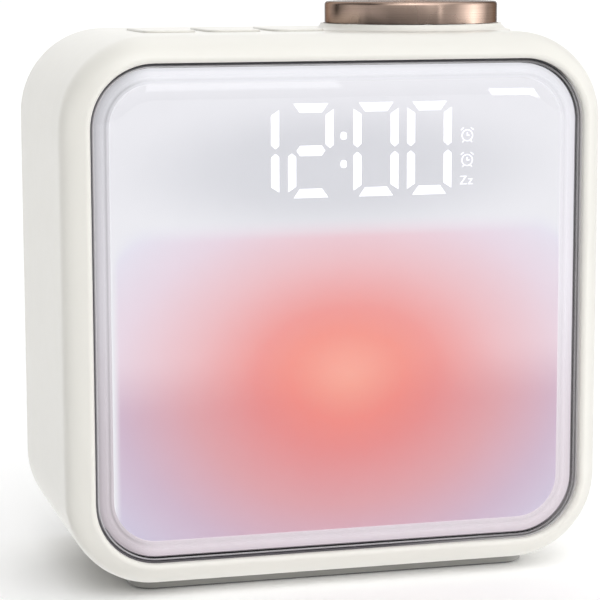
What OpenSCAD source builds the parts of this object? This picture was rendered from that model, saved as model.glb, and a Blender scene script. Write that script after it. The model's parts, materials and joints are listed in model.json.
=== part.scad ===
// Sunrise alarm clock: rounded square housing with a recessed light panel,
// a row of three buttons and a turning, pressing knob on top.
//
// Frame: millimetres, +Z up, the light panel faces -Y. The origin is the middle of the
// footprint, on the surface that the clock stands on.
// Most places are given as (x, v, z): x from the middle, v behind the front crest of the
// housing, and z from the middle of the housing's height.

/* [Housing] */
// Width of the housing, side to side
body_w = 143.5; // [141:0.5:147]
// Height of the housing without the foot and the knob
body_h = 140.5; // [138:0.5:144]
// Depth of the housing, front crest to rear edge
body_d = 75; // [74:0.5:80]
// Outer corner radius, seen from the front
corner_r = 23; // [22:0.5:25]
// Wall thickness
wall = 2.4; // [2:0.1:2.6]
// Width of the rounded frame round the light panel
frame_w = 6.65; // [6.55:0.05:7.4]
// Radius of the frame's outer round
bead_r = 11; // [10:0.5:12]
// Radius of the small round on the frame's inner edge
lip_r = 1; // [0.6:0.1:1.2]
// Depth of the frame's inner wall
lip_depth = 9.6; // [9.6:0.1:10]
// Radius of the rear outer edge
rear_round = 2; // [1:0.1:2.2]

/* [Foot] */
// Width of the plinth under the housing
foot_w = 108; // [96:1:112]
// Depth of the plinth
foot_d = 55; // [44:1:55]
// Height of the plinth below the housing
plinth_h = 2; // [1.5:0.1:3]
// Thickness of the soft pad under the plinth
pad_h = 0.6; // [0.5:0.1:1]
// Distance from the plinth's edge to the pad's edge
pad_inset = 1; // [0.5:0.1:3]

/* [Light panel] */
// Gap between the lens and the frame
lens_gap = 0.4; // [0.3:0.05:0.5]
// Lens face behind the front crest
lens_front = 1; // [0.8:0.1:1.4]
// Radius of the lens edge
lens_edge_r = 4; // [3.4:0.1:5.4]
// Lens wall thickness
lens_t = 2.2; // [1.8:0.1:2.4]
// Thickness of the pale gasket under the lens flange
gasket_t = 0.6; // [0.5:0.1:0.8]
// Front of the gasket's lip behind the front crest
gasket_front = 2; // [1.8:0.1:4]
// Thickness of the lens flange and the tray flange
flange_t = 1.8; // [1.5:0.1:2]
// Distance from the housing's outside to the flanges' edge
flange_inset = 3; // [2.9:0.1:3.2]
// Front of the diffuser behind the front crest
diffuser_front = 4.6; // [4.2:0.1:5]
// Diffuser thickness
diffuser_t = 1.6; // [1.2:0.1:2]
// Distance from the housing's outside to the tray's outside
tray_inset = 11.3; // [11:0.1:12]
// Tray wall thickness
tray_wall = 1.6; // [1.2:0.1:1.8]
// Back of the tray behind the front crest
tray_depth = 28; // [27:0.5:29]
// Top of the sunrise chamber above the middle
glow_top = 20.5; // [18:0.5:22]

/* [Display] */
// Height of a digit
digit_h = 24; // [22:0.2:25]
// Width of a digit
digit_w = 12; // [11:0.1:12.4]
// Distance between the digits of a pair
digit_pitch = 14.35; // [13.6:0.05:14.6]
// Distance from the middle of the colon to the nearest digit's edge
colon_space = 2.65; // [2.4:0.05:3]
// Width of an upright lit stroke
stroke = 2.1; // [2:0.05:2.6]
// Height of a digit's top and bottom strokes
bar_h = 2.3; // [2.2:0.1:3]
// Distance from an upright stroke's tip to the digit's middle
stroke_gap = 0.6; // [0.3:0.05:0.8]
// Middle of the colon, sideways
colon_x = 0.7; // [-2:0.1:3]
// Middle of the digits above the housing's middle
digit_z = 40.8; // [39:0.1:42]

/* [Knob] */
// Knob axis, sideways
knob_x = 30.1; // [29:0.1:31]
// Axis of the knob and middle of the buttons behind the front crest
knob_v = 40; // [39:0.5:41]
// Knob radius
knob_r = 23.35; // [21:0.05:24]
// Top of the knob above the housing
knob_top = 7.4; // [7:0.1:9]
// Height of the collar above the housing
collar_h = 1.6; // [1.4:0.1:1.8]
// Width of the collar's top beyond the knob
collar_margin = 1.1; // [0.9:0.1:1.5]
// Radius of the collar's hollow flare
flare_r = 2.6; // [2.2:0.1:3]
// How far the knob goes down when it is pressed
knob_travel = 0.5; // [0.3:0.05:0.5]

/* [Buttons] */
// Width of a button
button_w = 14; // [12:0.1:14.2]
// Depth of a button, front to back
button_d = 28; // [22:0.5:28]
// Distance between the buttons' middles
button_pitch = 17.4; // [17:0.1:17.6]
// Middle of the row, sideways
button_row_x = -21.8; // [-22:0.1:-21.4]
// Height of the buttons above the housing
button_rise = 0.6; // [0.5:0.05:0.8]
// How far a button goes down
button_travel = 0.5; // [0.3:0.05:0.6]
// Gap round a button in its opening
button_gap = 0.35; // [0.3:0.05:0.4]

/* [Sound and power] */
// Radius of the speaker frame
speaker_r = 24; // [22:0.5:25]
// Distance between the rings of grille holes
grille_pitch = 3.9; // [3.7:0.1:4]
// Radius of a grille hole
grille_hole_r = 1; // [0.8:0.05:1.1]
// Rings of grille holes round the middle one
grille_rings = 4; // [3:1:4]
// Backup cell radius
cell_r = 10; // [9.8:0.1:10]
// Backup cell thickness
cell_t = 3.2; // [2.5:0.1:3.2]

/* [Hidden] */
$fn = 72;
front_y = -body_d / 2;
foot_h = plinth_h + pad_h;
foot_corner = 6;
centre_z = foot_h + body_h / 2;
half_w = body_w / 2;
half_h = body_h / 2;
corner_x = half_w - corner_r;
corner_z = half_h - corner_r;
clear = 0.05;
foot_screw_x = 42;
fit_gap = 0.15;

// Frame profile, in (radius from the corner centre, depth)
opening_r = corner_r - frame_w;
bead_run = bead_r - frame_w + lip_r;
bead_v = lip_r + sqrt(pow(bead_r - lip_r, 2) - pow(bead_run, 2));
bead_c = [corner_r - bead_r, bead_v];
lip_c = [opening_r + lip_r, lip_r];
bead_dir = (lip_c - bead_c) / (bead_r - lip_r);

// Depths of the stack behind the frame
flange_v = lip_depth + gasket_t;
tray_flange_v = flange_v + flange_t;
screw_head_v = tray_flange_v + flange_t;
diffuser_back = diffuser_front + diffuser_t;
tray_plate_v = tray_depth - tray_wall;
lens_inset = frame_w + lens_gap;
tray_inner = tray_inset + tray_wall;
glow_bottom = tray_inner - half_h;

// Screws into the frame
frame_screw_inset = 4.9;
frame_screw_r = 0.9;
frame_screw_reach = 5.4;
frame_head_r = 1.8;
frame_head_t = 1.2;
frame_screws = concat(
    [for (sx = [-1, 1], z = [-36, 36]) [sx * (half_w - frame_screw_inset), z]],
    [for (sz = [-1, 1], x = [-36, 36]) [x, sz * (half_h - frame_screw_inset)]]);

// Light board and its lamps
board_t = 1.6;
led_board = [110, 70];
led_board_z = (glow_top + glow_bottom) / 2;
led_board_v = tray_plate_v - board_t;
led_size = 5;
led_t = 1.6;
led_pitch = [19.8, 20];
led_board_screws = [for (sx = [-1, 1], sz = [-1, 1]) [sx * 50, led_board_z + sz * 32]];

// Display module
display_size = [74, 29];
display_x = 3.4;
display_back = 18;
display_board_size = [80, 32];
lit_t = 0.15;
colon_rise = 3.6;
colon_dot = [1.6, 2];
colon_r = 0.75;
display_posts = [for (x = [-32, 38], z = [29, 53]) [x, z]];
icon_x = 34;
icon_z = [43.8, 37.4];
snooze_z = 32.2;

// Main board
main_v = 32;
main_size = [100, 100];
main_z = -10;
main_posts = [for (sx = [-1, 1], sz = [-1, 1]) [sx * 44, main_z + sz * 44]];
small_screw_r = 1.2;
small_head_r = 2.2;
small_head_t = 1.4;
foot_head_z = -half_h - plinth_h + small_head_t;
chip_size = 12;
chip_t = 1.6;
cap_r = 3.2;
cap_t = 8;
caps = [[30, 20], [30, 11], [38, 15.5]];

// Rear cover
cover_t = 2.4;
cover_v = body_d - 0.2 - cover_t;
cover_inset = wall + fit_gap;
tab_len = 30;
tab_t = 1.4;
tab_depth = 5;
boss_r = 3.6;
boss_start = 34;
boss_reach = 12.4;
boss_screw_r = 1.3;
boss_head_r = 2.9;
boss_head_t = 1.3;
bosses = [for (sx = [-1, 1], sz = [-1, 1]) [sx * (corner_x + boss_reach), sz * (corner_z + boss_reach)]];

// Speaker
speaker_x = -28;
speaker_z = 12;
speaker_gasket_t = 0.6;
speaker_v = cover_v - speaker_gasket_t;
speaker_flange_t = 1.2;
basket_depth = 9;
magnet_r = 14;
magnet_t = 8;
cone_r = 20;
cone_t = 0.5;

// Backup cell
cell_x = -32;
cell_z = -38;
cell_box = [30, 26];
cell_box_depth = 8;
cell_wall = 1.4;
cell_floor = cover_v - cell_box_depth;
door_size = [34, 37];
door_z = cell_z - 3.5;
door_t = 1.6;
door_screw_z = cell_z - 17.5;
door_head_t = 1;
door_boss_r = 3;
holder_size = [25, 23];
holder_t = 4.6;

// Power inlet
inlet_x = 32;
inlet_z = -56;
inlet_w = 9;
inlet_h = 3.2;
inlet_depth = 7.4;
inlet_wall = 0.35;
inlet_board_size = [24, 15];
inlet_board_t = 1.2;
inlet_v = cover_v - 0.6;
inlet_board_top = inlet_z - inlet_h / 2;
inlet_screw_x = 9;
inlet_screw_v = cover_v - 9;

// Knob and encoder
top_in = half_h - wall;
collar_r = knob_r + collar_margin;
flare_dip = 0.1;
flare_foot = collar_r + sqrt(pow(flare_r, 2) - pow(flare_r - flare_dip - collar_h, 2));
collar_drop = 2;
knob_bottom = half_h + collar_h + 0.1;
knob_wall = 1.2;
knob_edge_r = 0.9;
seat_depth = knob_travel + 0.4;
seat_gap = 0.45;
nut_well_r = 9;
nut_floor = half_h - 0.6;
shaft_r = 3;
bush_r = 3.5;
bush_top = half_h + 2.3;
washer_t = 0.5;
nut_t = 1.9;
nut_r = 5.4;
encoder_w = 12.4;
encoder_d = 13.2;
encoder_h = 6.6;
encoder_bottom = top_in - encoder_h;
rotor_r = 5;
rotor_t = 1.2;
rotor_z = encoder_bottom + 2.3;
cavity_r = 5.4;
cavity = [encoder_bottom + 1.2, top_in - 2.3];
spigot_r = 2;
spigot_flat = 1.3;
spigot_z = cavity[0] + 0.9;
shoulder_z = cavity[1] + 0.1;
hub_r = 5.5;
hub_bottom = bush_top + knob_travel + 0.4;
hub_disc_t = 1.4;
shaft_top = half_h + 5.2;

// Buttons and their switches
button_r = 4;
button_xs = [for (i = [-1, 0, 1]) button_row_x + i * button_pitch];
button_flange = 0.9;
button_flange_t = 1.2;
button_flange_z = top_in - 0.3 - button_flange_t;
key_board_t = 1.2;
key_board_z = encoder_bottom - key_board_t;
key_board_x = [-54.5, 40];
key_board_v = [29, 57.5];
key_posts = [for (x = [-51, 7.5], v = [32, 53.5]) [x, v]];
key_post_r = 2.4;
switch_w = 6;
switch_h = 3.2;
switch_z = key_board_z + key_board_t;
plunger_r = 1.75;
plunger_top = button_flange_z - 0.4;
plunger_h = 2.2;

// Flat leads
lead_t = 0.4;
lead_w = 8;
light_lead_z = -34;
display_lead_z = 34;
key_lead_v = 44;
key_lead_x = -26;
key_lead_z = 34;

// ---- shapes that repeat ----

// Rounded rectangle, middle at the origin
module rounded_rect(w, h, r) {
    square([w - 2 * r, h], center = true);
    square([w, h - 2 * r], center = true);
    for (sx = [-1, 1], sz = [-1, 1])
        translate([sx * (w / 2 - r), sz * (h / 2 - r)]) circle(r);
}

// The housing's outline seen from the front, moved inwards
module inset_outline(inset) {
    rounded_rect(body_w - 2 * inset, body_h - 2 * inset, corner_r - inset);
}

// Plate of a front-view outline between two depths
module slab(v0, v1) {
    translate([0, front_y + v1, centre_z])
        rotate([90, 0, 0])
            linear_extrude(v1 - v0) children();
}

// Carries a (radius, depth) profile round the housing's outline
module edge_sweep() {
    for (side = [0, 1])
        mirror([side, 0, 0])
            translate([corner_x, front_y, centre_z - corner_z])
                linear_extrude(2 * corner_z) children();
    translate([0, front_y, centre_z])
        for (side = [0, 1])
            mirror([0, 0, side])
                translate([corner_x, 0, corner_z])
                    rotate([0, -90, 0])
                        linear_extrude(2 * corner_x) children();
    translate([0, front_y, centre_z])
        for (sx = [0, 1], sz = [0, 1])
            mirror([sx, 0, 0])
                mirror([0, 0, sz])
                    translate([corner_x, 0, -corner_z])
                        rotate([-90, 0, 0])
                            rotate_extrude(angle = 90) children();
}

// Box from ranges of x, depth and height
module block(xs, vs, zs) {
    translate([xs[0], front_y + vs[0], centre_z + zs[0]])
        cube([xs[1] - xs[0], vs[1] - vs[0], zs[1] - zs[0]]);
}

// Box of a width and height round a middle, between two depths
module panel(x, z, size, v0, v1) {
    block([x - size[0] / 2, x + size[0] / 2], [v0, v1], [z - size[1] / 2, z + size[1] / 2]);
}

// Rod along the depth
module rod_v(x, z, r, v0, v1) {
    translate([x, front_y + v0, centre_z + z])
        rotate([-90, 0, 0])
            cylinder(r = r, h = v1 - v0);
}

// Rod along the height
module rod_z(x, v, r, z0, z1) {
    translate([x, front_y + v, centre_z + z0])
        cylinder(r = r, h = z1 - z0);
}

// Screw along the depth, head behind, with a cross recess
module screw_v(x, z, r, v0, head_v, head_r, head_t) {
    recess = head_t * 0.6;
    slot = head_r * 0.28;
    difference() {
        union() {
            rod_v(x, z, r, v0, head_v);
            rod_v(x, z, head_r, head_v, head_v + head_t);
        }
        for (size = [[head_r * 1.2, slot], [slot, head_r * 1.2]])
            panel(x, z, size, head_v + head_t - recess, head_v + head_t + 1);
    }
}

// Screw along the height, head below, with a cross recess
module screw_up(x, v, r, z_top, head_z, head_r, head_t) {
    recess = head_t * 0.6;
    slot = head_r * 0.28;
    arm = head_r * 1.2;
    difference() {
        union() {
            rod_z(x, v, r, head_z, z_top);
            rod_z(x, v, head_r, head_z - head_t, head_z);
        }
        for (size = [[arm, slot], [slot, arm]])
            block([x - size[0] / 2, x + size[0] / 2], [v - size[1] / 2, v + size[1] / 2],
                [head_z - head_t - 1, head_z - head_t + recess]);
    }
}

// Turns a screw round, front to back, about a depth
module turned_v(v) {
    translate([0, 2 * (front_y + v), 0]) mirror([0, 1, 0]) children();
}

// Turns a screw round, top to bottom, about a height
module turned_z(z) {
    translate([0, 0, 2 * (centre_z + z)]) mirror([0, 0, 1]) children();
}

// Carries a (radius, height) profile round the knob's axis
module knob_turned() {
    translate([knob_x, front_y + knob_v, centre_z])
        rotate_extrude() children();
}

// ---- housing ----

// Rounded frame, wall and rear edge, in (radius from the corner centre, depth)
module shell_profile() {
    intersection() {
        translate(bead_c) circle(bead_r);
        polygon([bead_c, bead_c + 2 * bead_r * bead_dir, [2 * corner_r, -bead_r], [2 * corner_r, bead_v]]);
        translate([opening_r, -1]) square([frame_w + 1, bead_v + 2]);
    }
    translate(lip_c) circle(lip_r);
    polygon([[opening_r, lip_r], lip_c, [opening_r + 1.5 * lip_r, bead_v / 2], [opening_r, bead_v / 2]]);
    translate([opening_r, bead_v]) square([frame_w, lip_depth - bead_v]);
    translate([corner_r - wall, bead_v]) square([wall, body_d - rear_round - bead_v]);
    translate([corner_r - wall, bead_v]) square([wall - rear_round, body_d - bead_v]);
    intersection() {
        translate([corner_r - rear_round, body_d - rear_round]) circle(rear_round);
        translate([corner_r - wall, bead_v]) square([wall, body_d]);
    }
}

// Ring under the knob, with a hollow flare down to the housing's top
module collar() {
    knob_turned()
        difference() {
            translate([0, half_h - collar_drop]) square([flare_foot, collar_drop + collar_h]);
            translate([flare_foot, half_h - flare_dip + flare_r]) circle(flare_r);
        }
}

module housing_shell() {
    color("ivory")
    difference() {
        union() {
            edge_sweep() shell_profile();
            difference() {
                collar();
                slab(bead_v, body_d) inset_outline(wall);
            }
            for (b = bosses)
                rod_v(b[0], b[1], boss_r, boss_start, cover_v);
            for (p = key_posts)
                rod_z(p[0], p[1], key_post_r, switch_z, top_in + wall / 2);
        }
        // openings for the buttons
        for (x = button_xs)
            button_prism(x, button_gap, top_in - 1, half_h + 1);
        // seat of the knob, well of the nut and hole for the bush
        rod_z(knob_x, knob_v, knob_r + seat_gap, half_h + collar_h - seat_depth, half_h + collar_h + 1);
        rod_z(knob_x, knob_v, nut_well_r, nut_floor, half_h + collar_h + 1);
        rod_z(knob_x, knob_v, bush_r + clear, top_in - 1, half_h);
        // pilot holes
        for (s = frame_screws)
            rod_v(s[0], s[1], frame_screw_r + clear, lip_depth - frame_screw_reach, lip_depth + 1);
        for (b = bosses)
            rod_v(b[0], b[1], boss_screw_r + clear, cover_v - 14, cover_v + 1);
        for (p = key_posts)
            rod_z(p[0], p[1], small_screw_r + clear, switch_z - 1, switch_z + 4.5);
        for (sx = [-1, 1])
            rod_z(sx * foot_screw_x, body_d / 2, small_screw_r + clear, -half_h - 1, -half_h + wall + 1);
    }
}

// ---- foot ----

module foot_plinth() {
    color("gainsboro")
    difference() {
        translate([0, 0, pad_h])
            linear_extrude(plinth_h + 1.2) rounded_rect(foot_w, foot_d, foot_corner);
        slab(bead_v - 4, body_d) inset_outline(0);
        for (sx = [-1, 1]) {
            rod_z(sx * foot_screw_x, body_d / 2, small_screw_r + clear, -half_h - plinth_h - 1, -half_h + 1);
            rod_z(sx * foot_screw_x, body_d / 2, small_head_r + 0.2, -half_h - plinth_h - 1, foot_head_z);
        }
    }
}

module foot_pad() {
    color("dimgray")
    linear_extrude(pad_h)
        rounded_rect(foot_w - 2 * pad_inset, foot_d - 2 * pad_inset, foot_corner - pad_inset);
}

module foot_screws() {
    color("silver")
    for (sx = [-1, 1])
        screw_up(sx * foot_screw_x, body_d / 2, small_screw_r, -half_h + wall + 2,
            foot_head_z, small_head_r, small_head_t);
}

// ---- light panel ----

// Outside of the lens, between its face and a depth
module lens_body(inset, face, edge_r, back) {
    outer_r = corner_r - inset;
    slab(face + edge_r, back) inset_outline(inset);
    slab(face, face + edge_r) inset_outline(inset + edge_r);
    edge_sweep()
        intersection() {
            translate([outer_r - edge_r, face + edge_r]) circle(edge_r);
            translate([outer_r - edge_r, face]) square(edge_r);
        }
}

module lens_cover() {
    color("white", 0.35)
    difference() {
        union() {
            lens_body(lens_inset, lens_front, lens_edge_r, flange_v);
            slab(flange_v, tray_flange_v) inset_outline(flange_inset);
        }
        lens_body(lens_inset + lens_t, lens_front + lens_t, lens_edge_r - lens_t, tray_flange_v + 1);
        for (s = frame_screws)
            rod_v(s[0], s[1], frame_screw_r + clear, flange_v - 1, tray_flange_v + 1);
    }
}

module lens_gasket() {
    color("lavender")
    difference() {
        union() {
            slab(lip_depth, flange_v)
                difference() {
                    inset_outline(flange_inset);
                    inset_outline(lens_inset);
                }
            slab(gasket_front, flange_v)
                difference() {
                    inset_outline(frame_w);
                    inset_outline(lens_inset);
                }
        }
        for (s = frame_screws)
            rod_v(s[0], s[1], frame_screw_r + clear, lip_depth - 1, flange_v + 1);
    }
}

module diffuser() {
    color("mistyrose")
    slab(diffuser_front, diffuser_back) inset_outline(tray_inset + tray_wall / 2);
}

module light_tray() {
    color("white")
    difference() {
        union() {
            slab(diffuser_back, tray_depth)
                difference() {
                    inset_outline(tray_inset);
                    inset_outline(tray_inner);
                }
            slab(tray_flange_v, screw_head_v)
                difference() {
                    inset_outline(flange_inset);
                    inset_outline(tray_inset + tray_wall / 2);
                }
            slab(tray_plate_v, tray_depth) inset_outline(tray_inset + tray_wall / 2);
            panel(0, glow_top + tray_wall / 2, [body_w - 2 * tray_inset - tray_wall, tray_wall],
                diffuser_back, tray_depth);
            for (p = main_posts)
                rod_v(p[0], p[1], key_post_r, tray_plate_v + tray_wall / 2, main_v);
            for (p = display_posts)
                rod_v(p[0], p[1], key_post_r, display_back + board_t, tray_plate_v + tray_wall / 2);
        }
        for (s = frame_screws)
            rod_v(s[0], s[1], frame_screw_r + clear, tray_flange_v - 1, screw_head_v + 1);
        for (s = led_board_screws)
            rod_v(s[0], s[1], frame_screw_r + clear, tray_plate_v - 1, tray_depth + 1);
        for (p = main_posts)
            rod_v(p[0], p[1], small_screw_r + clear, tray_depth, main_v + 1);
        for (z = [light_lead_z, display_lead_z])
            panel(0, z, [lead_w + 2, lead_t + 2], tray_plate_v - 1, tray_depth + 1);
    }
}

module tray_screws() {
    color("silver")
    for (s = frame_screws)
        screw_v(s[0], s[1], frame_screw_r, lip_depth - frame_screw_reach + 0.4, screw_head_v,
            frame_head_r, frame_head_t);
}

module sunrise_board() {
    color("whitesmoke")
    difference() {
        panel(0, led_board_z, led_board, led_board_v, tray_plate_v);
        for (s = led_board_screws)
            rod_v(s[0], s[1], frame_screw_r + clear, led_board_v - 1, tray_plate_v + 1);
    }
}

module sunrise_lamps() {
    color("gold")
    for (i = [-2 : 2], k = [-1 : 1])
        panel(i * led_pitch[0], led_board_z + k * led_pitch[1], [led_size, led_size],
            led_board_v - led_t, led_board_v);
}

module sunrise_board_screws() {
    color("silver")
    turned_v(led_board_v)
        for (s = led_board_screws)
            screw_v(s[0], s[1], frame_screw_r, led_board_v - board_t - tray_wall + 0.2, led_board_v,
                frame_head_r, frame_head_t);
}

// ---- display ----

// Corners of each kind of lit stroke, from the digit's middle
stroke_tip = 1;
bar_long = digit_w / 2 - 1.45;
bar_short = digit_w / 2 - 3.1;
mid_h = 2.6;
mid_tip = digit_w / 2 - 2.25;
mid_flat = digit_w / 2 - 3.2;
side_top = digit_h / 2 - 1.6;
side_in = digit_w / 2 - stroke;
end_stroke = [[-bar_long, digit_h / 2], [bar_long, digit_h / 2],
    [bar_short, digit_h / 2 - bar_h], [-bar_short, digit_h / 2 - bar_h]];
side_stroke = [[digit_w / 2, side_top], [side_in, side_top - 0.65 * stroke],
    [side_in, stroke_gap + 0.9 * (stroke - stroke_tip)], [digit_w / 2 - stroke_tip, stroke_gap],
    [digit_w / 2, stroke_gap + 0.8 * stroke_tip]];
mid_stroke = [[-mid_tip, 0], [-mid_flat, mid_h / 2], [mid_flat, mid_h / 2],
    [mid_tip, 0], [mid_flat, -mid_h / 2], [-mid_flat, -mid_h / 2]];

// Strokes a to g: corners, and which side and half of the digit they are on
strokes = [[end_stroke, 1, 1], [side_stroke, 1, 1], [side_stroke, 1, -1], [end_stroke, 1, -1],
    [side_stroke, -1, -1], [side_stroke, -1, 1], [mid_stroke, 1, 1]];

// Digit of the strokes that are on
module digit(on) {
    for (i = on)
        polygon([for (p = strokes[i][0]) [strokes[i][1] * p[0], strokes[i][2] * p[1]]]);
}

digit_xs = [for (p = [-1.5, -0.5, 0.5, 1.5])
    colon_x + (p < 0 ? -1 : 1) * (colon_space + digit_w / 2) + (abs(p) > 1 ? sign(p) * digit_pitch : 0)];
all_strokes = [0, 1, 2, 3, 4, 5, 6];
time_strokes = [[1, 2], [0, 1, 6, 4, 3], [0, 1, 2, 3, 4, 5], [0, 1, 2, 3, 4, 5]];

module colon_dots() {
    for (sz = [-1, 1])
        translate([colon_x, digit_z + sz * colon_rise]) rounded_rect(colon_dot[0], colon_dot[1], colon_r);
}

// Small generic sign of a bell clock
module clock_sign() {
    line = 0.24;
    ring = 1.55;
    difference() {
        circle(ring);
        circle(ring - line);
    }
    translate([-line / 2, -line / 2]) square([line, 0.9]);
    translate([-line / 2, -line / 2]) square([0.75, line]);
    for (sx = [-1, 1]) {
        translate([sx * 1.35, 1.7]) rotate(sx * -40) square([1, line], center = true);
        translate([sx * 1.05, -1.47]) rotate(sx * -50) square([0.8, line], center = true);
    }
}

// Zigzag sign for a rest, of a given size
module rest_sign(size) {
    bar = 0.22;
    for (sz = [-1, 1])
        translate([0, sz * (size / 2 - bar / 2)]) square([size * 0.8, bar], center = true);
    polygon([[-size * 0.4, -size / 2 + bar / 2], [bar * 1.3 - size * 0.4, -size / 2 + bar / 2],
        [size * 0.4, size / 2 - bar / 2], [size * 0.4 - bar * 1.3, size / 2 - bar / 2]]);
}

module display_segments() {
    color("white")
    slab(diffuser_front - lit_t, diffuser_front) {
        for (i = [0 : 3])
            translate([digit_xs[i], digit_z]) digit(time_strokes[i]);
        colon_dots();
        for (z = icon_z)
            translate([icon_x, z]) clock_sign();
        translate([icon_x - 1, snooze_z]) rest_sign(2.2);
        translate([icon_x + 0.9, snooze_z - 0.35]) rest_sign(1.5);
    }
}

module display_housing() {
    color("white")
    difference() {
        panel(display_x, digit_z, display_size, diffuser_back + 0.2, display_back);
        slab(diffuser_back, display_back - 1.5) {
            for (x = digit_xs)
                translate([x, digit_z]) digit(all_strokes);
            colon_dots();
        }
    }
}

module display_board() {
    color("darkgreen")
    panel(display_x, digit_z, display_board_size, display_back, display_back + board_t);
}

// ---- main electronics ----

module main_board() {
    color("darkgreen")
    difference() {
        panel(0, main_z, main_size, main_v, main_v + board_t);
        for (p = main_posts)
            rod_v(p[0], p[1], small_screw_r + clear, main_v - 1, main_v + board_t + 1);
    }
}

module main_chip() {
    color("dimgray")
    panel(0, 6, [chip_size, chip_size], main_v + board_t, main_v + board_t + chip_t);
}

module board_capacitors() {
    color("royalblue")
    for (c = caps)
        rod_v(c[0], c[1], cap_r, main_v + board_t, main_v + board_t + cap_t);
}

module main_board_screws() {
    color("silver")
    for (p = main_posts)
        screw_v(p[0], p[1], small_screw_r, tray_depth + 0.4, main_v + board_t, small_head_r, small_head_t);
}

// ---- rear cover ----

module grille_holes() {
    rod_v(speaker_x, speaker_z, grille_hole_r, cover_v - 1, body_d + 1);
    for (ring = [1 : grille_rings], i = [0 : 6 * ring - 1])
        rod_v(speaker_x + ring * grille_pitch * cos(60 * i / ring),
            speaker_z + ring * grille_pitch * sin(60 * i / ring),
            grille_hole_r, cover_v - 1, body_d + 1);
}

// Locating tabs inside the wall
module cover_tabs() {
    side_x = half_w - cover_inset - tab_t / 2;
    side_z = half_h - cover_inset - tab_t / 2;
    for (s = [-1, 1]) {
        panel(s * side_x, 0, [tab_t, tab_len], cover_v - tab_depth, cover_v + 1);
        panel(0, s * side_z, [tab_len, tab_t], cover_v - tab_depth, cover_v + 1);
    }
}

module rear_cover() {
    outside = cover_v + cover_t;
    box_back = cover_v - cell_box_depth;
    color("ivory")
    difference() {
        union() {
            slab(cover_v, outside) inset_outline(cover_inset);
            cover_tabs();
            // compartment of the backup cell
            panel(cell_x, cell_z, cell_box + 2 * [cell_wall, cell_wall], box_back - cell_wall, cover_v + 1);
            rod_v(cell_x, door_screw_z, door_boss_r, cover_v - 5, cover_v + 0.4);
            // shelves under the inlet board
            for (sx = [-1, 1])
                block([inlet_x + sx * inlet_screw_x - 2, inlet_x + sx * inlet_screw_x + 2],
                    [inlet_v - inlet_board_size[1], cover_v + 1],
                    [inlet_board_top - inlet_board_t - 3, inlet_board_top - inlet_board_t]);
            // rib round the speaker
            difference() {
                rod_v(speaker_x, speaker_z, speaker_r + 1.8, speaker_v - 2, cover_v + 1);
                rod_v(speaker_x, speaker_z, speaker_r + 0.3, speaker_v - 3, cover_v);
            }
        }
        panel(cell_x, cell_z, cell_box, box_back, outside + 1);
        panel(cell_x, door_z, door_size, outside - door_t, outside + 1);
        rod_v(cell_x, door_screw_z, small_screw_r + clear, cover_v - 4.4, outside);
        grille_holes();
        for (i = [0 : 4])
            panel(inlet_x, -24 + 6 * i, [30, 1.8], cover_v - 1, outside + 1);
        panel(inlet_x, inlet_z, [inlet_w - inlet_h + 0.3, inlet_h + 0.3], cover_v - 1, outside + 1);
        for (sx = [-1, 1])
            rod_v(inlet_x + sx * (inlet_w - inlet_h) / 2, inlet_z, inlet_h / 2 + 0.15, cover_v - 1, outside + 1);
        for (b = bosses) {
            rod_v(b[0], b[1], boss_screw_r + 0.2, cover_v - 1, outside + 1);
            rod_v(b[0], b[1], boss_head_r + 0.2, outside - boss_head_t - 0.1, outside + 1);
        }
        for (sx = [-1, 1])
            rod_z(inlet_x + sx * inlet_screw_x, inlet_screw_v, frame_screw_r + clear,
                inlet_board_top - inlet_board_t - 2.6, inlet_board_top);
    }
}

module cover_screws() {
    color("silver")
    for (b = bosses)
        screw_v(b[0], b[1], boss_screw_r, cover_v - 11, cover_v + cover_t - boss_head_t - 0.1,
            boss_head_r, boss_head_t);
}

// ---- speaker ----

module speaker_turned() {
    translate([speaker_x, front_y + speaker_v, centre_z + speaker_z])
        rotate([90, 0, 0])
            rotate_extrude() children();
}

module speaker_gasket() {
    color("dimgray")
    difference() {
        rod_v(speaker_x, speaker_z, speaker_r, speaker_v, cover_v);
        rod_v(speaker_x, speaker_z, speaker_r - 3, speaker_v - 1, cover_v + 1);
    }
}

module speaker_frame() {
    inner = cone_r;
    back_r = magnet_r - 1;
    color("gray")
    speaker_turned() {
        translate([inner, 0]) square([speaker_r - inner, speaker_flange_t]);
        polygon([[inner, 0], [inner + 0.8, 0], [inner + 0.8, 2], [back_r + 1, basket_depth],
            [5, basket_depth], [5, basket_depth - 0.8], [back_r, basket_depth - 0.8], [inner, 2]]);
    }
}

module speaker_cone() {
    color("dimgray")
    speaker_turned()
        polygon([[cone_r, 0.4], [cone_r, 0.4 + cone_t], [6, 6], [0, 4.4], [0, 4.4 - cone_t], [6, 6 - cone_t]]);
}

module speaker_magnet() {
    color("darkslategray")
    rod_v(speaker_x, speaker_z, magnet_r, speaker_v - basket_depth - magnet_t, speaker_v - basket_depth);
}

// ---- backup cell ----

module cell_holder() {
    color("dimgray")
    difference() {
        panel(cell_x, cell_z, holder_size, cell_floor, cell_floor + holder_t);
        rod_v(cell_x, cell_z, cell_r + 0.2, cell_floor + 1, cell_floor + holder_t + 1);
    }
}

module coin_cell() {
    color("silver")
    rod_v(cell_x, cell_z, cell_r, cell_floor + 1, cell_floor + 1 + cell_t);
}

module battery_door() {
    outside = cover_v + cover_t;
    color("ivory")
    difference() {
        panel(cell_x, door_z, door_size - [0.4, 0.4], outside - door_t, outside);
        for (i = [-3 : 3])
            panel(cell_x, cell_z + 5 + 1.6 * i, [16, 0.7], outside - 0.4, outside + 1);
        rod_v(cell_x, door_screw_z, small_screw_r + 0.2, cover_v, outside + 1);
        rod_v(cell_x, door_screw_z, small_head_r + 0.2, outside - door_head_t - 0.05, outside + 1);
    }
}

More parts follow.
